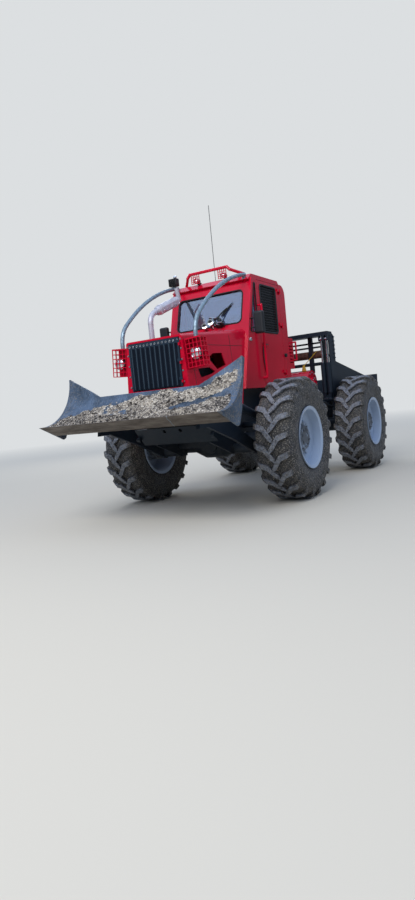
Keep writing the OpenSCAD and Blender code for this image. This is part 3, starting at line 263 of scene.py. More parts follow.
# Solid mud within the hub's 17 cm, thinning out to the flange
hub_mud = add_node(rim_tree, "MapRange", {"Value": rim_radius, "From Min": 0.15, "From Max": 0.30,
                                          "To Min": 0.22, "To Max": -0.16})
caked = add_node(rim_tree, "Math", {0: splash, 1: hub_mud}, operation="ADD")
cake_share = add_node(rim_tree, "MapRange", {"Value": caked, "From Min": 0.52, "From Max": 0.7,
                                             "To Max": 0.9})
rim_colour = add_node(rim_tree, "Mix", {0: cake_share, 6: "#a3b3c8", 7: "#4d4f50"}, data_type="RGBA")
rim_dull = add_node(rim_tree, "MapRange", {"Value": cake_share, "To Min": 0.28, "To Max": 0.9})
rim_relief = add_node(rim_tree, "Bump", {"Height": cake_share, "Strength": 0.5, "Distance": 0.004})
feed(rim_shader, {"Base Color": rim_colour, "Roughness": rim_dull, "Normal": rim_relief})
wheel_names = [f"{end}_{side}" for end in ("front", "rear") for side in ("left", "right")]
coat_nodes(rim_paint, *[f"rim_{name}" for name in wheel_names])

# Tyres
# Black ply rubber with deep lugs. The lugs' faces are rubbed to grey and carry a painted highlight, dark
# forest mud lies between them and on the walls, darker in the grooves as painted shade, and pale crumbs stick
# to it all.
tyre_rubber, tyre_tree, tyre_shader, tyre_place = start_material("muddy_ply_rubber")
tyre_radius = distance_from_spindle(tyre_tree, tyre_place)
lug_foot_r, lug_face_r = 0.690, 0.718
clay = add_node(tyre_tree, "TexNoise", {"Vector": tyre_place, "Scale": 7.0, "Detail": 9.0, "Roughness": 0.7})
# Most clay just below the lugs' feet, less on their faces and on the walls. Its dark tone in the grooves
# is partly painted shade.
on_lugs = add_node(tyre_tree, "MapRange", {"Value": tyre_radius, "From Min": lug_foot_r - 0.012,
                                           "From Max": lug_face_r, "To Min": 0.0, "To Max": -0.32})
on_walls = add_node(tyre_tree, "MapRange", {"Value": tyre_radius, "From Min": 0.40, "From Max": 0.66,
                                            "To Min": -0.03, "To Max": 0.09})
clay_and_shade_level = add_node(tyre_tree, "Math", {0: clay, 1: on_lugs}, operation="ADD")
clay_and_shade_level = add_node(tyre_tree, "Math", {0: clay_and_shade_level, 1: on_walls}, operation="ADD")
clay_and_groove_shade_share = add_node(tyre_tree, "MapRange", {"Value": clay_and_shade_level, "From Min": 0.44, "From Max": 0.62,
                                              "To Max": 0.95})
blotch = patches(tyre_tree, tyre_place, 34.0, 6.0, 0.7, 0.34, 0.66)
# The clay tone's dark end is partly painted shade in the grooves
clay_and_groove_shade_tone = add_node(tyre_tree, "Mix", {0: blotch, 6: "#1a1918", 7: "#4a4844"}, data_type="RGBA")
# Lug faces are pale, partly rubbed rubber and partly a painted sky sheen, and the rest of the rubber is dark
rubbed_and_highlit_share = add_node(tyre_tree, "MapRange", {"Value": tyre_radius, "From Min": lug_face_r - 0.016,
                                          "From Max": lug_face_r})
dark_rubber = add_node(tyre_tree, "Mix", {0: blotch, 6: "#1b1c1f", 7: "#3b3d42"}, data_type="RGBA")
rubbed_highlit_rubber = add_node(tyre_tree, "Mix", {0: blotch, 6: "#2a2d33", 7: "#7e848f"}, data_type="RGBA")
bare_tone = add_node(tyre_tree, "Mix", {0: rubbed_and_highlit_share, 6: dark_rubber, 7: rubbed_highlit_rubber}, data_type="RGBA")
tyre_tone = add_node(tyre_tree, "Mix", {0: clay_and_groove_shade_share, 6: bare_tone, 7: clay_and_groove_shade_tone}, data_type="RGBA")
# Pale crumbs of dry clay and wood about 12 mm across
crumbs = add_node(tyre_tree, "TexNoise", {"Vector": tyre_place, "Scale": 75.0, "Detail": 3.0,
                                          "Roughness": 0.8})
crumb_share = add_node(tyre_tree, "MapRange", {"Value": crumbs, "From Min": 0.54, "From Max": 0.62,
                                               "To Max": 0.8})
tyre_colour = add_node(tyre_tree, "Mix", {0: crumb_share, 6: tyre_tone, 7: "#9b9388"}, data_type="RGBA")
tyre_dull = add_node(tyre_tree, "MapRange", {"Value": clay_and_groove_shade_share, "To Min": 0.5, "To Max": 0.85})
crumb_relief = add_node(tyre_tree, "Bump", {"Height": crumbs, "Strength": 0.6, "Distance": 0.006})
tyre_relief = add_node(tyre_tree, "Bump", {"Height": clay_and_groove_shade_share, "Strength": 0.6, "Distance": 0.008,
                                           "Normal": crumb_relief})
feed(tyre_shader, {"Base Color": tyre_colour, "Roughness": tyre_dull, "Normal": tyre_relief})
coat_nodes(tyre_rubber, *[f"tyre_{name}" for name in wheel_names])


# Bare and worn metals
# The blade's paint has worn to steel, the hoops are hot-dip galvanised, rods are ground chrome, the
# silencer is aluminised, and the rollers and drums are rusty castings.
def bare_metal(name, base, patch, roughness, patches_per_metre, patch_from, patch_to, metallic,
               streak=(1, 1, 1)):
    """Metal with patches of another tone; streak stretches them by way of the metre along each axis."""
    material, tree, shader, place = start_material(name)
    drawn = add_node(tree, "Mapping", {"Vector": place, "Scale": streak}).outputs[0]
    spread = patches(tree, drawn, patches_per_metre, 8.0, 0.65, patch_from, patch_to)
    tone = add_node(tree, "Mix", {0: spread, 6: base, 7: patch}, data_type="RGBA")
    dull = add_node(tree, "MapRange", {"Value": spread, "To Min": roughness,
                                       "To Max": min(1.0, roughness + 0.25)})
    relief = add_node(tree, "Bump", {"Height": spread, "Strength": 0.3, "Distance": 0.001})
    feed(shader, {"Base Color": tone, "Roughness": dull, "Metallic": metallic, "Normal": relief})
    return material


edge_steel = bare_metal("brown_cutting_steel", "#6f665d", "#4b433d", 0.55, 9, 0.35, 0.65, 0.25, (1, 0.4, 2))
coat_nodes(edge_steel, "cutting_edge")
zinc_coat = bare_metal("galvanised_tube", "#93a6b1", "#7b8b95", 0.38, 35, 0.4, 0.6, 0.75)
coat_nodes(zinc_coat, "brush_hoops")
chrome_rod = bare_metal("ground_chrome", "#c9ced3", "#b5babf", 0.12, 3, 0.4, 0.7, 1.0)
coat_nodes(chrome_rod, "lift_rods", "shield_rods", "steer_rod_left", "steer_rod_right")
silencer_steel = bare_metal("aluminised_silencer", "#c3c3cc", "#a9a6aa", 0.42, 12, 0.5, 0.8, 0.35)
coat_nodes(silencer_steel, "exhaust")
rusty_iron = bare_metal("rusty_roller_iron", "#6e4636", "#3d2c26", 0.7, 14, 0.35, 0.65, 0.2)
coat_nodes(rusty_iron, "rollers")
engine_iron = bare_metal("cast_engine_iron", "#2b2e31", "#1b1d20", 0.6, 15, 0.35, 0.65, 0.3)
coat_nodes(engine_iron, "engine_block", "drum_left", "drum_right")

# Blade face
# Rolled moldboard plate. Its blue-grey paint is rubbed thin, and stones have drawn long bright scratches
# across it; the rims of the scratches are dull.
blade_steel, blade_tree, blade_shader, blade_place = start_material("scoured_blade_plate")
worn = add_node(blade_tree, "TexNoise", {"Vector": blade_place, "Scale": 3.5, "Detail": 9.0,
                                         "Roughness": 0.7})
worn_share = add_node(blade_tree, "MapRange", {"Value": worn, "From Min": 0.4, "From Max": 0.62})
blade_tone = add_node(blade_tree, "Mix", {0: worn_share, 6: "#2f3d4b", 7: "#55687f"}, data_type="RGBA")
# Scratches a millimetre or two wide and 20 cm long, mostly up the face
drawn_out = add_node(blade_tree, "Mapping", {"Vector": blade_place, "Scale": (1, 24, 1)}).outputs[0]
scratches = patches(blade_tree, drawn_out, 9.0, 8.0, 0.75, 0.55, 0.66, most=0.7)
scratched = add_node(blade_tree, "Mix", {0: scratches, 6: blade_tone, 7: "#9dabbc"}, data_type="RGBA")
# Crumbs of mud and bark about a centimetre across, thickest on the ears
across = add_node(blade_tree, "SeparateXYZ", {0: blade_place}).outputs["Y"]
ear_reach = add_node(blade_tree, "Math", {0: across}, operation="ABSOLUTE")
ear_push = add_node(blade_tree, "MapRange", {"Value": ear_reach, "From Min": 0.9, "From Max": 1.2,
                                             "To Min": -0.04, "To Max": 0.05})
bits = add_node(blade_tree, "TexNoise", {"Vector": blade_place, "Scale": 55.0, "Detail": 4.0,
                                         "Roughness": 0.8})
bits_lie = add_node(blade_tree, "Math", {0: bits, 1: ear_push}, operation="ADD")
bit_share = add_node(blade_tree, "MapRange", {"Value": bits_lie, "From Min": 0.555, "From Max": 0.62,
                                              "To Max": 0.85})
blade_colour = add_node(blade_tree, "Mix", {0: bit_share, 6: scratched, 7: "#827b71"}, data_type="RGBA")
blade_dull = add_node(blade_tree, "MapRange", {"Value": worn, "From Min": 0.3, "From Max": 0.7,
                                               "To Min": 0.36, "To Max": 0.6})
blade_relief = add_node(blade_tree, "Bump", {"Height": scratches, "Strength": 0.25, "Distance": 0.001})
feed(blade_shader, {"Base Color": blade_colour, "Metallic": 0.35, "Roughness": blade_dull,
                    "Normal": blade_relief})
coat_nodes(blade_steel, "blade")


# Windows and lamps
# Toughened flat glass. The windscreen mirrors the pale sky, helped by a painted sky-blue tint, and the door
# panes lie dark behind a black wire mesh. The lamps' cases are black pressings.
def pane(name, tint, roughness, transmission, bend):
    """Flat glass with a thin film of dust; bend is its refractive index."""
    material, tree, shader, place = start_material(name)
    haze = patches(tree, place, 3.0, 5.0, 0.5, 0.3, 0.75, roughness, roughness + 0.03)
    feed(shader, {"Roughness": haze, "Base Color": tint, "Transmission Weight": transmission, "IOR": bend})
    return material


# The cab windows' pale sky-blue tint partly stands in for the sky that they mirror: a painted reflection
coat_nodes(pane("cab_glass_painted_sky_tint", "#a9bfe4", 0.0, 0.93, 3.0), "cab_windows")
coat_nodes(pane("dark_door_glass", "#0b0d10", 0.15, 0.2, 1.5), "door_left_glass", "door_right_glass")
lamp_shell = bare_metal("black_lamp_shell", "#1a1b1d", "#2a2b2e", 0.45, 20, 0.4, 0.7, 0.2)
coat_nodes(lamp_shell, "lamps")


# Black plastic, rubber and small mouldings
# Mirror shells and the dash are moulded ABS with a fine leather grain about 1 mm across.
def moulded_plastic(name, tone, roughness, grain_per_metre):
    """Moulded plastic or rubber, grained, with wide rubbed patches."""
    material, tree, shader, place = start_material(name)
    grain = add_node(tree, "TexNoise", {"Vector": place, "Scale": grain_per_metre, "Detail": 2.0})
    gloss = patches(tree, place, 6.0, 5.0, 0.5, 0.4, 0.7, roughness, roughness + 0.15)
    pale = add_node(tree, "MapRange", {"Value": grain, "From Min": 0.3, "From Max": 0.7, "To Max": 0.12})
    colour = add_node(tree, "Mix", {0: pale, 6: tone, 7: "#434a52"}, data_type="RGBA")
    relief = add_node(tree, "Bump", {"Height": grain, "Strength": 0.2, "Distance": 0.0004})
    feed(shader, {"Roughness": gloss, "Base Color": colour, "Normal": relief})
    return material


black_plastic = moulded_plastic("black_moulded_plastic", "#0d0f12", 0.42, 900)
coat_nodes(black_plastic, "mirrors", "antenna", "console")
coat_nodes(moulded_plastic("yellow_line_guide", "#c99a10", 0.5, 900), "winch_line")


# Operator's seat
# A sprung seat with a foam cushion and a tall back, both in hard-wearing woven cloth. The foam is pressed
# into sewn covers, so the faces crown, the edges pull in at the piping, and sewn channels cross them.
# Threads are drawn 3 mm apart, about twice the real cloth, so that they show.
seat_cloth, cloth_tree, cloth_shader, cloth_place = start_material("black_woven_seat_cloth")
threads_per_metre = 330
warp, weft = (add_node(cloth_tree, "TexWave", {"Vector": cloth_place, "Scale": threads_per_metre / 6.3},
                       bands_direction=way).outputs["Fac"] for way in ("Y", "X"))
weave = add_node(cloth_tree, "Math", {0: warp, 1: weft}, operation="MULTIPLY")
cloth_colour = add_node(cloth_tree, "Mix", {0: weave, 6: "#1c1c1f", 7: "#3c3c42"}, data_type="RGBA")
cloth_relief = add_node(cloth_tree, "Bump", {"Height": weave, "Strength": 0.5, "Distance": 0.001})
feed(cloth_shader, {"Base Color": cloth_colour, "Roughness": 0.95, "Sheen Weight": 0.3,
                    "Normal": cloth_relief})


def mesh_object(name, build):
    """A new object whose mesh build(bm) makes."""
    work = bmesh.new()
    build(work)
    mesh = bpy.data.meshes.new(name)
    work.to_mesh(mesh)
    work.free()
    return placed(name, mesh)


def joined(name, objects):
    """One object from several meshes."""
    def gather(work):
        for obj in objects:
            work.from_mesh(obj.data)
            bpy.data.objects.remove(obj)

    return mesh_object(name, gather)


def finished(pieces, name, material, body):
    """Join a list of pieces, name the result, give it its finish, and let it ride on a body."""
    obj = joined(name, pieces) if isinstance(pieces, list) else pieces
    obj.name = name
    obj.data.materials.clear()
    obj.data.materials.append(material)
    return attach(obj, body)


def evaluated_mesh(obj):
    """A plain mesh of the object with its modifiers applied."""
    bpy.context.view_layer.update()
    return bpy.data.meshes.new_from_object(obj.evaluated_get(bpy.context.evaluated_depsgraph_get()))


def baked(obj):
    """The object with its modifiers applied and removed."""
    shape = evaluated_mesh(obj)
    obj.modifiers.clear()
    obj.data = shape
    return obj


def sewn_pad(name, size, channels, seat_place, voxel=0.009, swell=0.014, frames=18):
    """A foam pad of that size. Channels are sewn across it at shares of its length."""
    inset = swell * 0.7
    core = Vector(size) - Vector((inset, inset, inset)) * 2

    def block(work):
        bmesh.ops.create_cube(work, size=1)
        bmesh.ops.scale(work, verts=work.verts, vec=core)
        bmesh.ops.bevel(work, geom=work.edges[:], offset=0.028, segments=3, affect="EDGES")

    pad = mesh_object(name, block)
    remesh = pad.modifiers.new("even", "REMESH")
    remesh.voxel_size = voxel
    baked(pad)
    before = [vertex.co.copy() for vertex in pad.data.vertices]
    foam = pad.modifiers.new("foam", "CLOTH")
    foam.settings.use_pressure = True
    foam.settings.uniform_pressure_force = 4
    foam.settings.effector_weights.gravity = 0
    for step in range(1, frames + 1):
        bpy.context.scene.frame_set(step)
    baked(pad)
    bpy.context.scene.frame_set(1)
    channel_half, channel_depth = 0.018, 0.012
    for vertex, start in zip(pad.data.vertices, before):
        move = vertex.co - start
        vertex.co = start + move * min(1, swell / max(move.length, 1e-6))
        groove = sum(math.exp(-((vertex.co.x / core.x - share) / channel_half) ** 2) for share in channels)
        vertex.co.z -= channel_depth * groove * max(0, vertex.co.z / core.z * 2)
    pad.data.transform(seat_place)
    pad.data.shade_smooth()
    return pad


seat_low, seat_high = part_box("seat")
cushion_size, back_size = (0.50, 0.47, 0.12), (0.60, 0.45, 0.11)
back_lean = math.radians(-10)
cushion_place = Matrix.Translation((seat_high.x - cushion_size[0] / 2, 0, seat_low.z + cushion_size[2] / 2))
back_foot = Vector((seat_high.x - 0.48, 0, seat_low.z + cushion_size[2]))
back_place = Matrix.Translation(back_foot) @ Matrix.Rotation(back_lean, 4, "Y")
back_place = back_place @ Matrix.Translation((-0.01, 0, back_size[0] / 2 + 0.012))
back_place = back_place @ Matrix.Rotation(math.radians(-90), 4, "Y")
cushion = sewn_pad("seat_cushion", cushion_size, (-0.2, 0.05, 0.3), cushion_place)
backrest = sewn_pad("seat_backrest", back_size, (-0.28, -0.06, 0.16, 0.34), back_place)
for pad in (cushion, backrest):
    finished(pad, pad.name, seat_cloth, "front")
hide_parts("seat")

# Window seals
# Each pane sits in a black rubber strip with a round outer bead. The strip is one ring, drawn along the edge
# of its opening and pressed into the sheet.
def ring_of(corner_low, corner_high, corner_r, steps=6):
    """Points round a rectangle with round corners, in two directions."""
    points = []
    for turn, (sign_a, sign_b) in enumerate(((1, 1), (-1, 1), (-1, -1), (1, -1))):
        centre_a = (corner_high[0] - corner_r) if sign_a > 0 else (corner_low[0] + corner_r)
        centre_b = (corner_high[1] - corner_r) if sign_b > 0 else (corner_low[1] + corner_r)
        for step in range(steps + 1):
            angle = math.radians(90 * (turn + step / steps))
            points.append((centre_a + corner_r * math.cos(angle), centre_b + corner_r * math.sin(angle)))
    return points


def tube_along(name, points, radius, closed=False, sides=3):
    """A round tube along points, as a mesh."""
    curve = bpy.data.curves.new(name, "CURVE")
    curve.dimensions = "3D"
    curve.bevel_depth = radius
    curve.bevel_resolution = sides
    curve.use_fill_caps = not closed
    spline = curve.splines.new("POLY")
    spline.points.add(len(points) - 1)
    for point, place in zip(spline.points, points):
        point.co = (*place, 1)
    spline.use_cyclic_u = closed
    holder = placed(name, curve)
    mesh = evaluated_mesh(holder)
    bpy.data.objects.remove(holder)
    mesh.shade_smooth()
    return placed(name, mesh)


both = (1, -1)
seal_rubber = moulded_plastic("black_seal_rubber", "#0e0f10", 0.6, 400)
cab_side, cab_front_lean = 0.585, 0.31
screen_top_z, screen_low_z, screen_half = 2.624, 2.205, 0.475
seal_r, thin_seal_r = 0.013, 0.009


def cab_front_x(z):
    """The cab's leaning front face, at that height."""
    return ground_mid.x + 1.160 + cab_front_lean * (2.650 - z)


screen_ring = [(cab_front_x(z) + 0.001, y, z)
               for y, z in ring_of((-screen_half, screen_low_z), (screen_half, screen_top_z), 0.06)]
rear_ring = [(ground_mid.x + 0.100, y, z) for y, z in ring_of((-0.43, 2.12), (0.43, 2.60), 0.05)]
cab_seals = [tube_along("ring", screen_ring, thin_seal_r, closed=True),
             tube_along("ring", rear_ring, seal_r, closed=True)]
quarter_rear_x, quarter_low_z, quarter_top_z = ground_mid.x + 1.050, 2.08, 2.70
for sign in both:
    corners = [(quarter_rear_x, quarter_low_z), (cab_front_x(quarter_low_z) - 0.065, quarter_low_z),
               (cab_front_x(quarter_top_z) - 0.065, quarter_top_z), (quarter_rear_x, quarter_top_z)]
    cab_seals.append(tube_along("ring", [(x, sign * cab_side, z) for x, z in corners], thin_seal_r,
                                closed=True))
finished(cab_seals, "cab_window_seals", seal_rubber, "front")

# Door windows with their guards
# A dark pane in a rubber ring, and outside it a black wire mesh that keeps branches out. The wires are 5 mm
# thick, 32 mm apart both ways, and welded to a thin frame that three lugs hold to the door.
window_low, window_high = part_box("door_left_glass")
window_span = window_high - window_low
mesh_pitch, wire_r = 0.032, 0.0026
for side, sign in (("left", 1), ("right", -1)):
    edge = ring_of((window_low.x, window_low.z), (window_high.x, window_high.z), 0.045)
    ring = tube_along("ring", [(x, sign * cab_side, z) for x, z in edge], seal_r, closed=True)
    finished(ring, f"door_{side}_seal", seal_rubber, f"door_{side}")
    wires = []
    guard_y = sign * 0.583
    for index in range(1, int(window_span.x / mesh_pitch)):
        x = window_low.x + index * window_span.x / int(window_span.x / mesh_pitch)
        wires.append([(x, guard_y, window_low.z), (x, guard_y, window_high.z)])
    for index in range(1, int(window_span.z / mesh_pitch)):
        z = window_low.z + index * window_span.z / int(window_span.z / mesh_pitch)
        wires.append([(window_low.x, guard_y, z), (window_high.x, guard_y, z)])
    finished([tube_along("wire", run, wire_r, sides=1) for run in wires], f"door_{side}_wire_mesh",
             black_plastic, f"door_{side}")


# Bolt heads
# Hexagon heads hold the casings, plates, steps and wheels. Each is set on its own seat and looks the way that
# the seat faces.
def start_tree(name, given, result):
    """A new node tree for geometry, and the sockets of its named inputs."""
    tree = bpy.data.node_groups.new(name, "GeometryNodeTree")
    for label, kind in given.items():
        tree.interface.new_socket(label, in_out="INPUT", socket_type="NodeSocket" + kind)
    tree.interface.new_socket(result, in_out="OUTPUT", socket_type="NodeSocketGeometry")
    return tree, add_node(tree, "NodeGroupInput").outputs


def end_tree(tree, instances, finish):
    """Make the tree's instances real and give them their finish."""
    solid = add_node(tree, "GeometryNodeRealizeInstances", {0: instances})
    painted = add_node(tree, "GeometryNodeSetMaterial", {"Geometry": solid, "Material": finish})
    add_node(tree, "NodeGroupOutput", {0: painted})
    return tree


def grown(obj, tree, inputs):
    """The object's mesh replaced by what the tree makes on it, with its named inputs set."""
    modifier = obj.modifiers.new("tree", "NODES")
    modifier.node_group = tree
    for item in tree.interface.items_tree:
        if item.in_out == "INPUT" and item.name in inputs:
            modifier[item.identifier] = inputs[item.name]
    return baked(obj)


def bolt_tree():
    """A node tree that sets one chamfered hexagon head on each point, along its facing vector."""
    tree, given = start_tree("hexagon_heads", {"Seats": "Geometry", "Head radius": "Float",
                                               "Head height": "Float", "Finish": "Material"}, "Heads")
    points = add_node(tree, "GeometryNodeMeshToPoints", {"Mesh": given["Seats"]})
    facing = add_node(tree, "GeometryNodeInputNamedAttribute", {"Name": "facing"}, data_type="FLOAT_VECTOR")
    turn = add_node(tree, "FunctionNodeAlignRotationToVector", {"Vector": facing}, axis="Z")
    neck = add_node(tree, "Math", {0: given["Head height"], 1: 0.7}, operation="MULTIPLY")
    crown = add_node(tree, "Math", {0: given["Head height"], 1: 0.3}, operation="MULTIPLY")
    narrow = add_node(tree, "Math", {0: given["Head radius"], 1: 0.8}, operation="MULTIPLY")
    body = add_node(tree, "GeometryNodeMeshCone", {"Vertices": 6, "Radius Top": given["Head radius"],
                                                   "Radius Bottom": given["Head radius"], "Depth": neck})
    cap = add_node(tree, "GeometryNodeMeshCone", {"Vertices": 6, "Radius Top": narrow,
                                                  "Radius Bottom": given["Head radius"], "Depth": crown})
    lift = add_node(tree, "CombineXYZ", {2: neck})
    raised = add_node(tree, "GeometryNodeTransform", {"Geometry": cap, "Translation": lift})
    head = add_node(tree, "GeometryNodeJoinGeometry", {0: body})
    feed(head, {0: raised})
    heads = add_node(tree, "GeometryNodeInstanceOnPoints", {"Points": points, "Instance": head,
                                                            "Rotation": turn})
    return end_tree(tree, heads, given["Finish"])


def at(place):
    """A point of the machine's own millimetres, from between the axles, in metres."""
    return Vector(place) / 1000 + ground_mid


hexagon_heads = bolt_tree()


def set_bolts(name, seats, head_r, head_h, material, body):
    """Heads on seats, each a point in the machine's own millimetres with the way that it faces."""
    mesh = bpy.data.meshes.new(name)
    mesh.from_pydata([at(place) for place, facing in seats], [], [])
    ways = mesh.attributes.new("facing", "FLOAT_VECTOR", "POINT")
    for index, (place, facing) in enumerate(seats):
        ways.data[index].vector = facing
    heads = grown(placed(name, mesh), hexagon_heads,
                  {"Head radius": head_r, "Head height": head_h, "Finish": material})
    return finished(heads, name, material, body)


def on_circle(centre, radius, count, facing, start=0.0):
    """Seats round a centre on a face that looks along Y."""
    x, y, z = centre
    return [((x + radius * math.cos(start + math.tau * i / count), y,
              z + radius * math.sin(start + math.tau * i / count)), facing) for i in range(count)]


bolt_steel = bare_metal("zinc_bolt_steel", "#a3a9ae", "#6f7276", 0.35, 60, 0.4, 0.65, 0.8)
wheel_x, wheel_y, wheel_z = 1375, 1085, 725
rim_disc_out, hub_face_out = 92, 135
for end, x in (("front", wheel_x), ("rear", -wheel_x)):
    for side, sign in (("left", 1), ("right", -1)):
        seats = on_circle((x, sign * (wheel_y + rim_disc_out), wheel_z), 200, 10, (0, sign, 0))
        seats += on_circle((x, sign * (wheel_y + hub_face_out), wheel_z), 95, 8, (0, sign, 0), 0.3)
        set_bolts(f"wheel_nuts_{end}_{side}", seats, 0.016, 0.018, rim_paint, f"wheel_{end}_{side}")
nose_x, frame_half = 2571, 385
front_bolts = [((nose_x + 1, sign * 358, z), (1, 0, 0)) for sign in both
               for z in (1500, 1620, 1740, 1860, 1960)]
front_bolts += [((x, sign * frame_half, z), (0, sign, 0)) for sign in both for x, z in
                ((450, 700), (700, 700), (950, 700), (1850, 1010), (1980, 1010), (2110, 1010))]
set_bolts("front_bolt_heads", front_bolts, 0.011, 0.009, bolt_steel, "front")
arch_bolts = [((-1120, sign * 834, 1764 + i * 64), (0, sign, 0)) for sign in both for i in range(6)]
set_bolts("arch_bolt_heads", arch_bolts, 0.013, 0.009, bolt_steel, "rear")
winch_x, winch_z = -725, 1385
winch_bolts = []
for sign in both:
    for y, circle_r, count in ((580, 175, 12), (615, 85, 8)):
        winch_bolts += on_circle((winch_x, sign * y, winch_z), circle_r, count, (0, sign, 0))
set_bolts("winch_bolt_heads", winch_bolts, 0.011, 0.010, bolt_steel, "rear")


# Wood chips on the blade
# Bark, chips and sawdust lie in the raised blade's hollow, up to its upper edge on the left half. Steel shows
# at the right end and in a swept strip on the left. A lumpy bed carries the loose chips.
blade_r_mm, edge_back = 548, 26
blade_r = blade_r_mm / 1000
edge_tip_x, edge_tip_z = 3293, 1148
blade_mid = Vector((edge_tip_x - edge_back, 0, edge_tip_z + math.sqrt(blade_r_mm ** 2 - edge_back ** 2)))
bed_half, bed_steps_y, bed_steps_a = 1.12, 220, 56
bed_from_deg, bed_to_deg, straight_edge_deg = 267.5, 193.5, 209.0
edge_share = (bed_from_deg - straight_edge_deg) / (bed_from_deg - bed_to_deg)


def held(value):
    """The value, held between 0 and 1."""
    return min(1, max(0, value))


def bed_depth(y, share):
    """Depth of the chips in metres, across the blade and up its face; share is 1 at its straight edge."""
    lumps = noise.fractal(Vector((y * 2.1, share * 2.6, 3.7)), 0.9, 2.1, 4)
    grit = noise.fractal(Vector((y * 16, share * 14, 8.2)), 0.8, 2.2, 3)
    ragged = 0.09 * noise.fractal(Vector((y * 5, share * 5, 1.4)), 0.9, 2.1, 3)
    upper = 0.94 - 0.42 * (-0.15 - y) / 0.95 if y < -0.15 else 0.98 + 0.36 * max(0, y - 0.70) / 0.4
    below_upper = held((upper + ragged - share) / 0.16)
    swept_mid = 0.40 + 0.42 * (y - 0.38) / 0.7
    swept = math.exp(-((share - swept_mid + ragged) / 0.13) ** 2) * held((y - 0.30) / 0.12)
    heap = min(1, share / 0.1 + 0.35) * (1 - 0.45 * share)
    ends = held((1.13 - abs(y)) / 0.12)
    cover = below_upper * heap * ends * (0.8 + 0.9 * lumps) * (1 - 1.25 * swept)
    return 0.05 * cover + 0.008 * grit - 0.004 if cover > 0.03 else -1.0


def chip_bed(work):
    """The bed's upper face, let into the steel at its edges."""
    rows = []
    for i in range(bed_steps_y + 1):
        y = bed_half * (2 * i / bed_steps_y - 1)
        row = []
        for j in range(bed_steps_a + 1):
            share = j / bed_steps_a / edge_share
            angle = math.radians(bed_from_deg + (bed_to_deg - bed_from_deg) * j / bed_steps_a)
            room = 1.0 + 0.44 * max(0, abs(y) - 0.68) / 0.49
            depth = bed_depth(y, share)
            if share > room or depth < -0.1:
                row.append(None)
                continue
            depth = max(-0.006, depth)
            edge = min(j, bed_steps_a - j, i, bed_steps_y - i)
            if edge < 2:
                depth = min(depth, -0.004 + 0.004 * edge)
            reach = blade_r - depth
            row.append(work.verts.new((ground_mid.x + blade_mid.x / 1000 + reach * math.cos(angle), y,
                                       blade_mid.z / 1000 + reach * math.sin(angle))))
        rows.append(row)
    for first, second in zip(rows, rows[1:]):
        for corners in zip(first, first[1:], second[1:], second):
            if all(corners):
                work.faces.new(corners)
    bmesh.ops.delete(work, geom=[vertex for vertex in work.verts if not vertex.link_faces], context="VERTS")
    bmesh.ops.recalc_face_normals(work, faces=work.faces[:])


def chip_tree():
    """A node tree that strews flat chips over the bed where it stands clear of the steel."""
    tree, given = start_tree("strewn_chips", {"Bed": "Geometry", "Chips to the square metre": "Float",
                                              "Chip length": "Float", "Finish": "Material"}, "Chips")
    depth = add_node(tree, "GeometryNodeInputNamedAttribute", {"Name": "depth"}, data_type="FLOAT")
    deep = add_node(tree, "FunctionNodeCompare", {0: depth, 1: 0.004}, data_type="FLOAT",
                    operation="GREATER_THAN")
    spots = add_node(tree, "GeometryNodeDistributePointsOnFaces",
                     {"Mesh": given["Bed"], "Selection": deep, "Density": given["Chips to the square metre"],
                      "Seed": 11})
    wide = add_node(tree, "Math", {0: given["Chip length"], 1: 0.45}, operation="MULTIPLY")
    thin = add_node(tree, "Math", {0: given["Chip length"], 1: 0.14}, operation="MULTIPLY")
    size = add_node(tree, "CombineXYZ", {0: given["Chip length"], 1: wide, 2: thin})
    chip = add_node(tree, "GeometryNodeMeshCube", {"Size": size})
    tip = add_node(tree, "FunctionNodeRandomValue", {0: (-0.7, -0.7, 0.0), 1: (0.7, 0.7, 6.28), "Seed": 3},
                   data_type="FLOAT_VECTOR")
    grow = add_node(tree, "FunctionNodeRandomValue", {2: 0.35, 3: 1.6, "Seed": 5}, data_type="FLOAT")
    chips = add_node(tree, "GeometryNodeInstanceOnPoints", {"Points": spots, "Instance": chip,
                                                            "Rotation": tip, "Scale": grow})
    return end_tree(tree, chips, given["Finish"])


# Each grain takes its own tone, from fresh sawdust to wet bark
chip_wood, chip_wood_tree, chip_shader, chip_place = start_material("mixed_wood_chips")
grains = add_node(chip_wood_tree, "TexVoronoi", {"Vector": chip_place, "Scale": 62.0}).outputs["Color"]
grain_tone = add_node(chip_wood_tree, "SeparateColor", {0: grains})
wet = patches(chip_wood_tree, chip_place, 3.2, 5.0, 0.6, 0.35, 0.65, -0.3, 0.3)
chip_pick = add_node(chip_wood_tree, "Math", {0: grain_tone, 1: wet}, operation="ADD")
chip_ramp = add_node(chip_wood_tree, "ValToRGB", {0: chip_pick})
chip_tones = chip_ramp.color_ramp.elements
chip_tones[0].color, chip_tones[1].color = srgb("#3f3b38"), srgb("#cdc4b5")
chip_tones.new(0.35).color = srgb("#78716a")
chip_tones.new(0.65).color = srgb("#a49a8d")
chip_fine = add_node(chip_wood_tree, "TexNoise", {"Vector": chip_place, "Scale": 160.0, "Detail": 6.0,
                                                  "Roughness": 0.7})
chip_relief = add_node(chip_wood_tree, "Bump", {"Height": chip_fine, "Strength": 0.8, "Distance": 0.004})
feed(chip_shader, {"Base Color": chip_ramp, "Roughness": 0.95, "Normal": chip_relief})

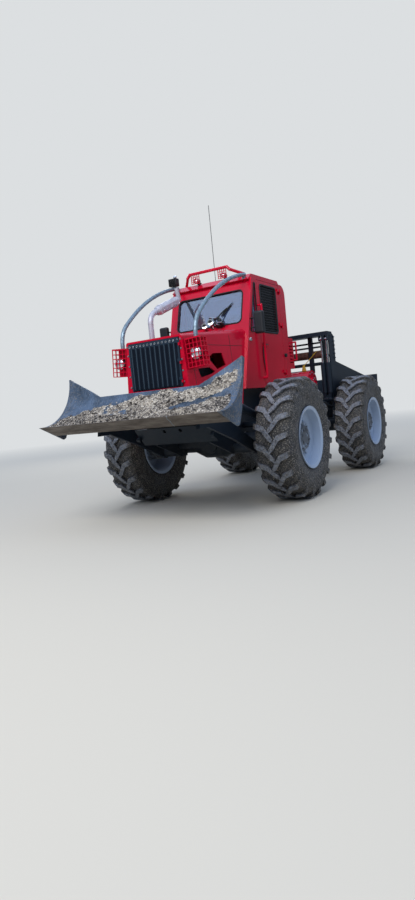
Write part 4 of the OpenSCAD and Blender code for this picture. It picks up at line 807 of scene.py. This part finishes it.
bed = mesh_object("bed", chip_bed)
depths = bed.data.attributes.new("depth", "FLOAT", "POINT")
for index, vertex in enumerate(bed.data.vertices):
    flat = Vector((vertex.co.x - ground_mid.x - blade_mid.x / 1000, 0, vertex.co.z - blade_mid.z / 1000))
    depths.data[index].value = blade_r - flat.length
strewn_chips = chip_tree()
wet_bark = bare_metal("wet_bark", "#5a534d", "#3d3935", 0.8, 30, 0.35, 0.65, 0.0, (1, 0.3, 1))
chips, bark = (grown(placed(name, bed.data.copy()), strewn_chips,
                     {"Chips to the square metre": density, "Chip length": length, "Finish": finish})
               for name, density, length, finish in (("chips", 6000.0, 0.016, chip_wood),
                                                     ("bark", 110.0, 0.042, wet_bark)))
thicken = bed.modifiers.new("under", "SOLIDIFY")
thicken.thickness = 0.004
thicken.offset = -1
baked(bed)
finished([bed, chips], "blade_wood_chips", chip_wood, "blade")
finished(bark, "blade_bark_strips", wet_bark, "blade")


# Headlamps and roof lamps
# Each lamp has a spun reflector behind a domed lens and a chromed ring round it. The ring is rolled over the
# lens's edge.
def spun(name, centre, profile, steps=28):
    """A round form about a line along X, from (radius, distance) pairs that start or end on the line."""
    def turn(work):
        ends = [work.verts.new((centre[0] + d, centre[1], centre[2])) if r == 0 else None for r, d in profile]
        rings = []
        for (r, d), end in zip(profile, ends):
            rings.append([end] * steps if end else
                         [work.verts.new((centre[0] + d, centre[1] + r * math.cos(math.tau * i / steps),
                                          centre[2] + r * math.sin(math.tau * i / steps)))
                          for i in range(steps)])
        for first, second in zip(rings, rings[1:]):
            for i in range(steps):
                j = (i + 1) % steps
                work.faces.new(list(dict.fromkeys((first[i], second[i], second[j], first[j]))))
        bmesh.ops.recalc_face_normals(work, faces=work.faces[:])

    shape = mesh_object(name, turn)
    shape.data.shade_smooth()
    return shape


lens_glass = bare_metal("silvered_lamp_lens", "#eef2f5", "#cfd6dc", 0.12, 40, 0.45, 0.6, 0.85)
chrome_trim = bare_metal("chromed_lamp_ring", "#d4d8dc", "#b9bec4", 0.1, 4, 0.4, 0.7, 1.0)
headlamp, roof_lamp = (2.536, 0.518, 1.790, 0.062), (1.150, 0.201, 2.852, 0.034)
rings, lenses = [], []
for x, y, z, r in (headlamp, roof_lamp):
    for sign in both:
        middle = (ground_mid.x + x, sign * y, z)
        rings.append(spun("ring", middle, [(r - 0.008, 0.001), (r + 0.003, 0.0), (r + 0.005, 0.006),
                                           (r - 0.001, 0.012), (r - 0.008, 0.008), (r - 0.008, 0.001)]))
        lenses.append(spun("lens", middle, [(0, 0.015), (r * 0.4, 0.0135), (r * 0.75, 0.009),
                                            (r - 0.007, 0.003), (r - 0.007, 0.0005), (0, 0.0005)]))
finished(rings, "lamp_rings", chrome_trim, "front")
finished(lenses, "lamp_lenses", lens_glass, "front")


# Work lamp on the hoop
# A small black die-cast lamp stands on the right hoop, over a bracket. Upright cooling fins face forwards and
# its lens looks back over the winch. A pale silvered cap on its top gives the lamp's glint: a painted
# highlight.
def rounded_block(corner_low, corner_high, r, segments=3):
    """A block with rounded edges, from two corners in the machine's own millimetres."""
    def build(work):
        bmesh.ops.create_cube(work, size=1)
        bmesh.ops.scale(work, verts=work.verts, vec=(Vector(corner_high) - Vector(corner_low)) / 1000)
        bmesh.ops.bevel(work, geom=work.edges[:], offset=r / 1000, segments=segments, affect="EDGES",
                        profile=0.5)
        middle = (Vector(corner_high) + Vector(corner_low)) / 2000 + ground_mid
        bmesh.ops.translate(work, verts=work.verts, vec=middle)

    block = mesh_object("block", build)
    for face in block.data.polygons:
        face.use_smooth = face.area < 0.0012
    return block


shell_low, shell_high = Vector((1180, -558, 2824)), Vector((1262, -442, 2927))
fin_pitch, fin_t = 14.2, 4
fins = [rounded_block(shell_low, shell_high, 8)]
for index in range(8):
    y = shell_low.y + 6 + index * fin_pitch
    fins.append(rounded_block((shell_high.x - 8, y, shell_low.z + 5),
                              (shell_high.x + 12, y + fin_t, shell_high.z - 5), 1, 1))
finished(fins, "work_lamp_shell", lamp_shell, "front")
work_lens = rounded_block((shell_low.x - 5, shell_low.y + 9, shell_low.z + 9),
                          (shell_low.x + 2, shell_high.y - 9, shell_high.z - 9), 3)
# The pale silvered cap stands where the lamp's top catches the light: a painted highlight
highlight_cap = rounded_block((shell_high.x - 46, shell_high.y - 46, shell_high.z - 3),
                          (shell_high.x - 4, shell_high.y - 4, shell_high.z + 34), 14)
finished([work_lens, highlight_cap], "work_lamp_lens_and_highlight_cap", lens_glass, "front")


# Mirrors
# Each mirror is a deep black moulded shell with round corners, on two short steel arms, with its glass let
# into the rear face.
def side_block(sign, x_span, y_span, z_span, r, segments=3):
    """A rounded block beside the cab, on the left or the right."""
    near, far = sorted(sign * y for y in y_span)
    return rounded_block((x_span[0], near, z_span[0]), (x_span[1], far, z_span[1]), r, segments)


mirror_shells, mirror_glasses = [], []
for sign in both:
    mirror_shells.append(side_block(sign, (1226, 1292), (638, 770), (2036, 2314), 26, 4))
    for x, z in ((1257, 2120), (1240, 2240)):
        mirror_shells.append(tube_along("arm", [at((x, sign * 585.3, z)), at((x, sign * 660, z))], 0.010))
    mirror_glasses.append(side_block(sign, (1223, 1228), (652, 756), (2060, 2290), 2, 1))
shells = finished(mirror_shells, "mirror_shells", black_plastic, "front")
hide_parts("mirrors")
finished(mirror_glasses, "mirror_glasses", chrome_trim, "front")


# Windscreen wiper
# A black arm holds a rubber blade in a wedge-shaped frame flat against the glass. The frame is widest near
# its lower end.
def on_screen(y, z, off=0.0):
    """A point on the windscreen's face in metres, that far out from the glass."""
    return Vector((cab_front_x(z) - 0.012, y, z)) + Vector((1, 0, cab_front_lean)).normalized() * off


def thickened(work, faces, way):
    """Push a copy of the faces out along a way, with walls between."""
    pushed = bmesh.ops.extrude_face_region(work, geom=faces)["geom"]
    bmesh.ops.translate(work, vec=way, verts=[v for v in pushed if isinstance(v, bmesh.types.BMVert)])


def wiper_wedge(work):
    outline = [(0.180, 2.318), (0.232, 2.345), (0.272, 2.397), (0.334, 2.477), (0.246, 2.404), (0.204, 2.362)]
    face = work.faces.new([work.verts.new(on_screen(y, z, 0.004)) for y, z in outline])
    thickened(work, [face], on_screen(0, 2.3, 0.012) - on_screen(0, 2.3))
    bmesh.ops.recalc_face_normals(work, faces=work.faces[:])


wiper_arm = [on_screen(0.165, 2.298, 0.06), on_screen(0.215, 2.362, 0.04), on_screen(0.262, 2.412, 0.02)]
finished([mesh_object("wedge", wiper_wedge), tube_along("arm", wiper_arm, 0.009)], "screen_wiper",
         seal_rubber, "front")


# Wiper drive
# The drive stands on the cab front below the screen: two plated housings whose ends are open and dark, with
# a black disc of painted shade in each end, black rubber caps over the linkage's joints, and plated links
# between them.
def ball_at(centre, r):
    """A ball round a point, in metres."""
    return spun("ball", (centre.x - r, centre.y, centre.z),
                [(r * math.sin(math.pi * i / 8), r - r * math.cos(math.pi * i / 8)) if 0 < i < 8
                 else (0, 0.25 * r * i) for i in range(9)], 16)


def in_front(y, z, out):
    """A point that far in front of the cab's leaning face, in metres."""
    return Vector((cab_front_x(z) + out, y, z))


drive_foot_z, link_out = 2.180, 0.088
housing_way = Vector((0.93, 0.33, -0.1))
housings, caps = [], []
for y, z, r, reach in ((-0.012, 2.222, 0.033, 0.085), (0.082, 2.258, 0.037, 0.100)):
    face = in_front(y, z, reach)
    housings.append(tube_along("housing", [in_front(y - 0.02, z - 0.02, 0.012), face], r, sides=5))
    housings.append(tube_along("lip", [face - housing_way * 0.006, face + housing_way * 0.003], r * 1.12,
                               sides=5))
    # Painted shade: a black disc in each housing's open end
    caps.append(tube_along("painted_shade_bore", [face, face + housing_way * 0.0045], r * 0.72, sides=5))
    housings.append(tube_along("foot", [in_front(y, drive_foot_z, 0.0), in_front(y, z - 0.01, reach * 0.5)],
                               0.014))
for y, z, r, reach in ((0.062, 2.310, 0.021, 0.07), (0.128, 2.290, 0.020, 0.07), (0.165, 2.298, 0.026, 0.06),
                       (0.205, 2.262, 0.028, 0.07), (0.150, 2.236, 0.025, 0.08), (0.238, 2.226, 0.020, 0.06),
                       (0.192, 2.206, 0.022, 0.06)):
    centre = in_front(y, z, reach)
    caps.append(ball_at(centre, r))
    caps.append(tube_along("stem", [in_front(y, drive_foot_z, 0.0), centre], r * 0.45))
for start, end in (((0.062, 2.322), (0.165, 2.300)), ((0.082, 2.250), (0.192, 2.214)),
                   ((0.150, 2.245), (0.238, 2.236))):
    housings.append(tube_along("link", [in_front(*start, link_out), in_front(*end, link_out)], 0.007))
finished(housings, "wiper_drive", chrome_trim, "front")
finished(caps, "wiper_drive_caps", black_plastic, "front")

# Door and cab fittings
# A black handle plate and a black strap hang at the door's front edge, a plated latch sits under the mirror,
# and a round rubber stop catches the open door.
strap_sag = [(962, 1900), (972, 1840), (975, 1760), (968, 1690), (950, 1620), (930, 1570)]
for side, sign in (("left", 1), ("right", -1)):
    fittings = [side_block(sign, (826, 900), (584, 606), (1908, 1934), 6),
                side_block(sign, (915, 958), (584, 606), (1924, 1948), 8),
                tube_along("strap", [at((x, sign * 592, z)) for x, z in strap_sag], 0.007)]
    finished(fittings, f"door_{side}_handle", seal_rubber, f"door_{side}")
latch_parts, stops = [], []
for sign in both:
    latch_parts.append(side_block(sign, (1286, 1352), (584, 604), (1958, 1984), 8))
    latch_parts.append(side_block(sign, (1306, 1326), (584, 604), (1976, 2000), 6))
    stops.append(tube_along("stop", [ground_mid + Vector((0.262, sign * y, 1.800)) for y in (0.585, 0.612)],
                            0.024, sides=5))
finished(latch_parts, "cab_side_latches", chrome_trim, "front")
finished(stops, "door_stops", seal_rubber, "front")

# Grille eyelets
# A pale zinc eyelet lines each of the small holes along the grille door's top; the eyelets give the bright
# glints there, as painted glints.
eyelet_count, eyelet_row, eyelet_face_x = 14, 0.644, 2.583
eyelet_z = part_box("grille")[1].z - 0.032
eyelet_profile = [(0.0065, 0.0), (0.0065, 0.002), (0.0125, 0.002), (0.0135, 0.0), (0.0065, 0.0)]
glint_eyelets = [spun("eyelet", (ground_mid.x + eyelet_face_x, -0.322 + index * eyelet_row / (eyelet_count - 1),
                           eyelet_z), eyelet_profile, 16) for index in range(eyelet_count)]
finished(glint_eyelets, "grille_glint_eyelets", bolt_steel, "grille_door")

# Seam in the cutting edge
# The edge is in two lengths. The ragged weld between them has rusted less than the plate.
weld_line = [(3293, 566, 1148), (3287.5, 561, 1139.5), (3240, 540, 1119.5), (3190, 532, 1098),
             (3130, 508, 1072), (3062, 492, 1042.5)]
weld = tube_along("weld", [at(place) for place in weld_line], 0.006)
finished(weld, "cutting_edge_weld", bolt_steel, "blade")

# Hood seams and latches
# The hood is welded from a nose, two sides and a top. The joints show as sealed seams, and rubber draw
# latches hold the sides to the nose.
hood_rear_x, hood_low_z = 1300, 1120
nose_half, hood_rear_half = 378, 540
nose_top_z, hood_rear_top_z = 2012, 2120
side_flare, top_fold = 60, 40


def hood_share(x):
    """How far back on the hood a place is, from 0 at the nose to 1 at the cab."""
    return (nose_x - x) / (nose_x - hood_rear_x)


def hood_top_z(x):
    """Height of the hood at that place."""
    return nose_top_z + (hood_rear_top_z - nose_top_z) * hood_share(x)


def hood_side_y(x, z):
    """Half width of the hood at that place."""
    half, fold_z = nose_half + (hood_rear_half - nose_half) * hood_share(x), hood_top_z(x) - top_fold
    return half + side_flare * (fold_z - z) / (fold_z - hood_low_z)


side_seam_z, front_seam_x, rear_seam_x, top_seam_x = 1900, 2440, 1700, 2100
seam_runs = []
for sign in both:
    places = ([(x, side_seam_z) for x in range(1450, 2500, 50)],
              [(front_seam_x, z) for z in range(1140, 1940, 40)],
              [(rear_seam_x, z) for z in range(1140, 2030, 40)])
    seam_runs += [[(x, sign * (hood_side_y(x, z) + 0.5), z) for x, z in run] for run in places]
seam_runs.append([(top_seam_x, y, hood_top_z(top_seam_x) + 0.5) for y in range(-380, 400, 40)])
seams = [tube_along("seam", [at(place) for place in run], 0.0025, sides=1) for run in seam_runs]
finished(seams, "hood_seams", seal_rubber, "front")


def draw_latch(x, z, sign):
    """A rubber strap with a round grip, between two steel seats on the hood's side."""
    def strap(work):
        y = sign * (hood_side_y(x, z) / 1000 + 0.006)
        outline = [(-0.055, -0.014), (0.055, -0.014), (0.06, 0.0), (0.055, 0.014), (-0.055, 0.014),
                   (-0.06, 0.0)]
        face = work.faces.new([work.verts.new((ground_mid.x + x / 1000 + a, y, z / 1000 + b))
                               for a, b in outline])
        thickened(work, [face], (0, sign * 0.012, 0))
        bmesh.ops.bevel(work, geom=work.edges[:], offset=0.003, segments=2, affect="EDGES")
        bmesh.ops.recalc_face_normals(work, faces=work.faces[:])

    return mesh_object("latch", strap)


latches = [draw_latch(x, z, sign) for sign in both
           for x, z in ((front_seam_x, 1850), (front_seam_x, 1350), (rear_seam_x, 1350))]
finished(latches, "hood_latches", seal_rubber, "front")


# Silencer jacket
# A sheet of aluminised steel wraps the silencer, so that nobody touches the hot can. Rolled flutes run along
# it, and a turned band holds each end.
pipe_x, bend_r, pipe_rise = 2075, 150, 200
pipe_foot = Vector((pipe_x, -350, hood_top_z(pipe_x) + 3.2))
lean = math.radians(70)
can_way = Vector((-math.sin(lean), 0, math.cos(lean)))
can_out = Vector((math.cos(lean), 0, math.sin(lean)))
bend_centre = pipe_foot + Vector((-bend_r, 0, pipe_rise))
can_start = bend_centre + Vector((bend_r * math.cos(lean), 0, bend_r * math.sin(lean))) + can_way * 62
jacket_steps, flute_pitch = 96, 12


def can_spoke(angle):
    """The way out of the silencer's middle line at that angle round it."""
    return can_out * math.cos(angle) + Vector((0, 1, 0)) * math.sin(angle)


def jacket(work):
    rings = []
    for along, swell in ((70, -3.5), (70, 0), (458, 0), (458, -3.5)):
        ring = []
        for turn in range(jacket_steps):
            flute = 2.6 * math.exp(-(((turn % flute_pitch) - flute_pitch / 2) / 1.3) ** 2)
            spoke = can_spoke(math.tau * turn / jacket_steps)
            ring.append(work.verts.new(at(can_start + can_way * along + spoke * (60 + flute + swell))))
        rings.append(ring)
    for first, second in zip(rings, rings[1:]):
        for i in range(jacket_steps):
            j = (i + 1) % jacket_steps
            work.faces.new((first[i], first[j], second[j], second[i]))
    bmesh.ops.recalc_face_normals(work, faces=work.faces[:])


sleeve = [mesh_object("jacket", jacket)]
for along in (76, 452):
    band = [at(can_start + can_way * along + can_spoke(math.tau * i / 48) * 61) for i in range(48)]
    sleeve.append(tube_along("band", band, 0.004, closed=True, sides=2))
finished(sleeve, "silencer_jacket", silencer_steel, "front")


# Worn plate edges
# Logs and ropes have scoured the paint off the upper edges of the shield's side plates down to bright steel.
# The strip is a thin skin on the edge, with a ragged width.
def scoured_skin(sign):
    """The skin along one side plate's upper edge."""
    start, end = Vector((-1215, sign * 760, 1730.6)), Vector((-2834, sign * 760, 1484.6))

    def skin(work):
        rows = []
        for i in range(61):
            mid = start + (end - start) * (0.01 + 0.98 * i / 60)
            wide = 14.4 - 3 * abs(noise.noise(mid / 60))
            rows.append([work.verts.new(at(mid + Vector((0, side * wide, 0.4)))) for side in (-1, 1)])
        for first, second in zip(rows, rows[1:]):
            work.faces.new((first[0], first[1], second[1], second[0]))
        bmesh.ops.recalc_face_normals(work, faces=work.faces[:])
        thickened(work, work.faces[:], (0, 0, 0.0008))
        bmesh.ops.recalc_face_normals(work, faces=work.faces[:])

    return mesh_object("skin", skin)


edge_bright = bare_metal("scoured_edge_steel", "#b9bfc6", "#6d7681", 0.3, 22, 0.5, 0.7, 0.8)
finished([scoured_skin(sign) for sign in both], "scoured_plate_edges", edge_bright, "shield")
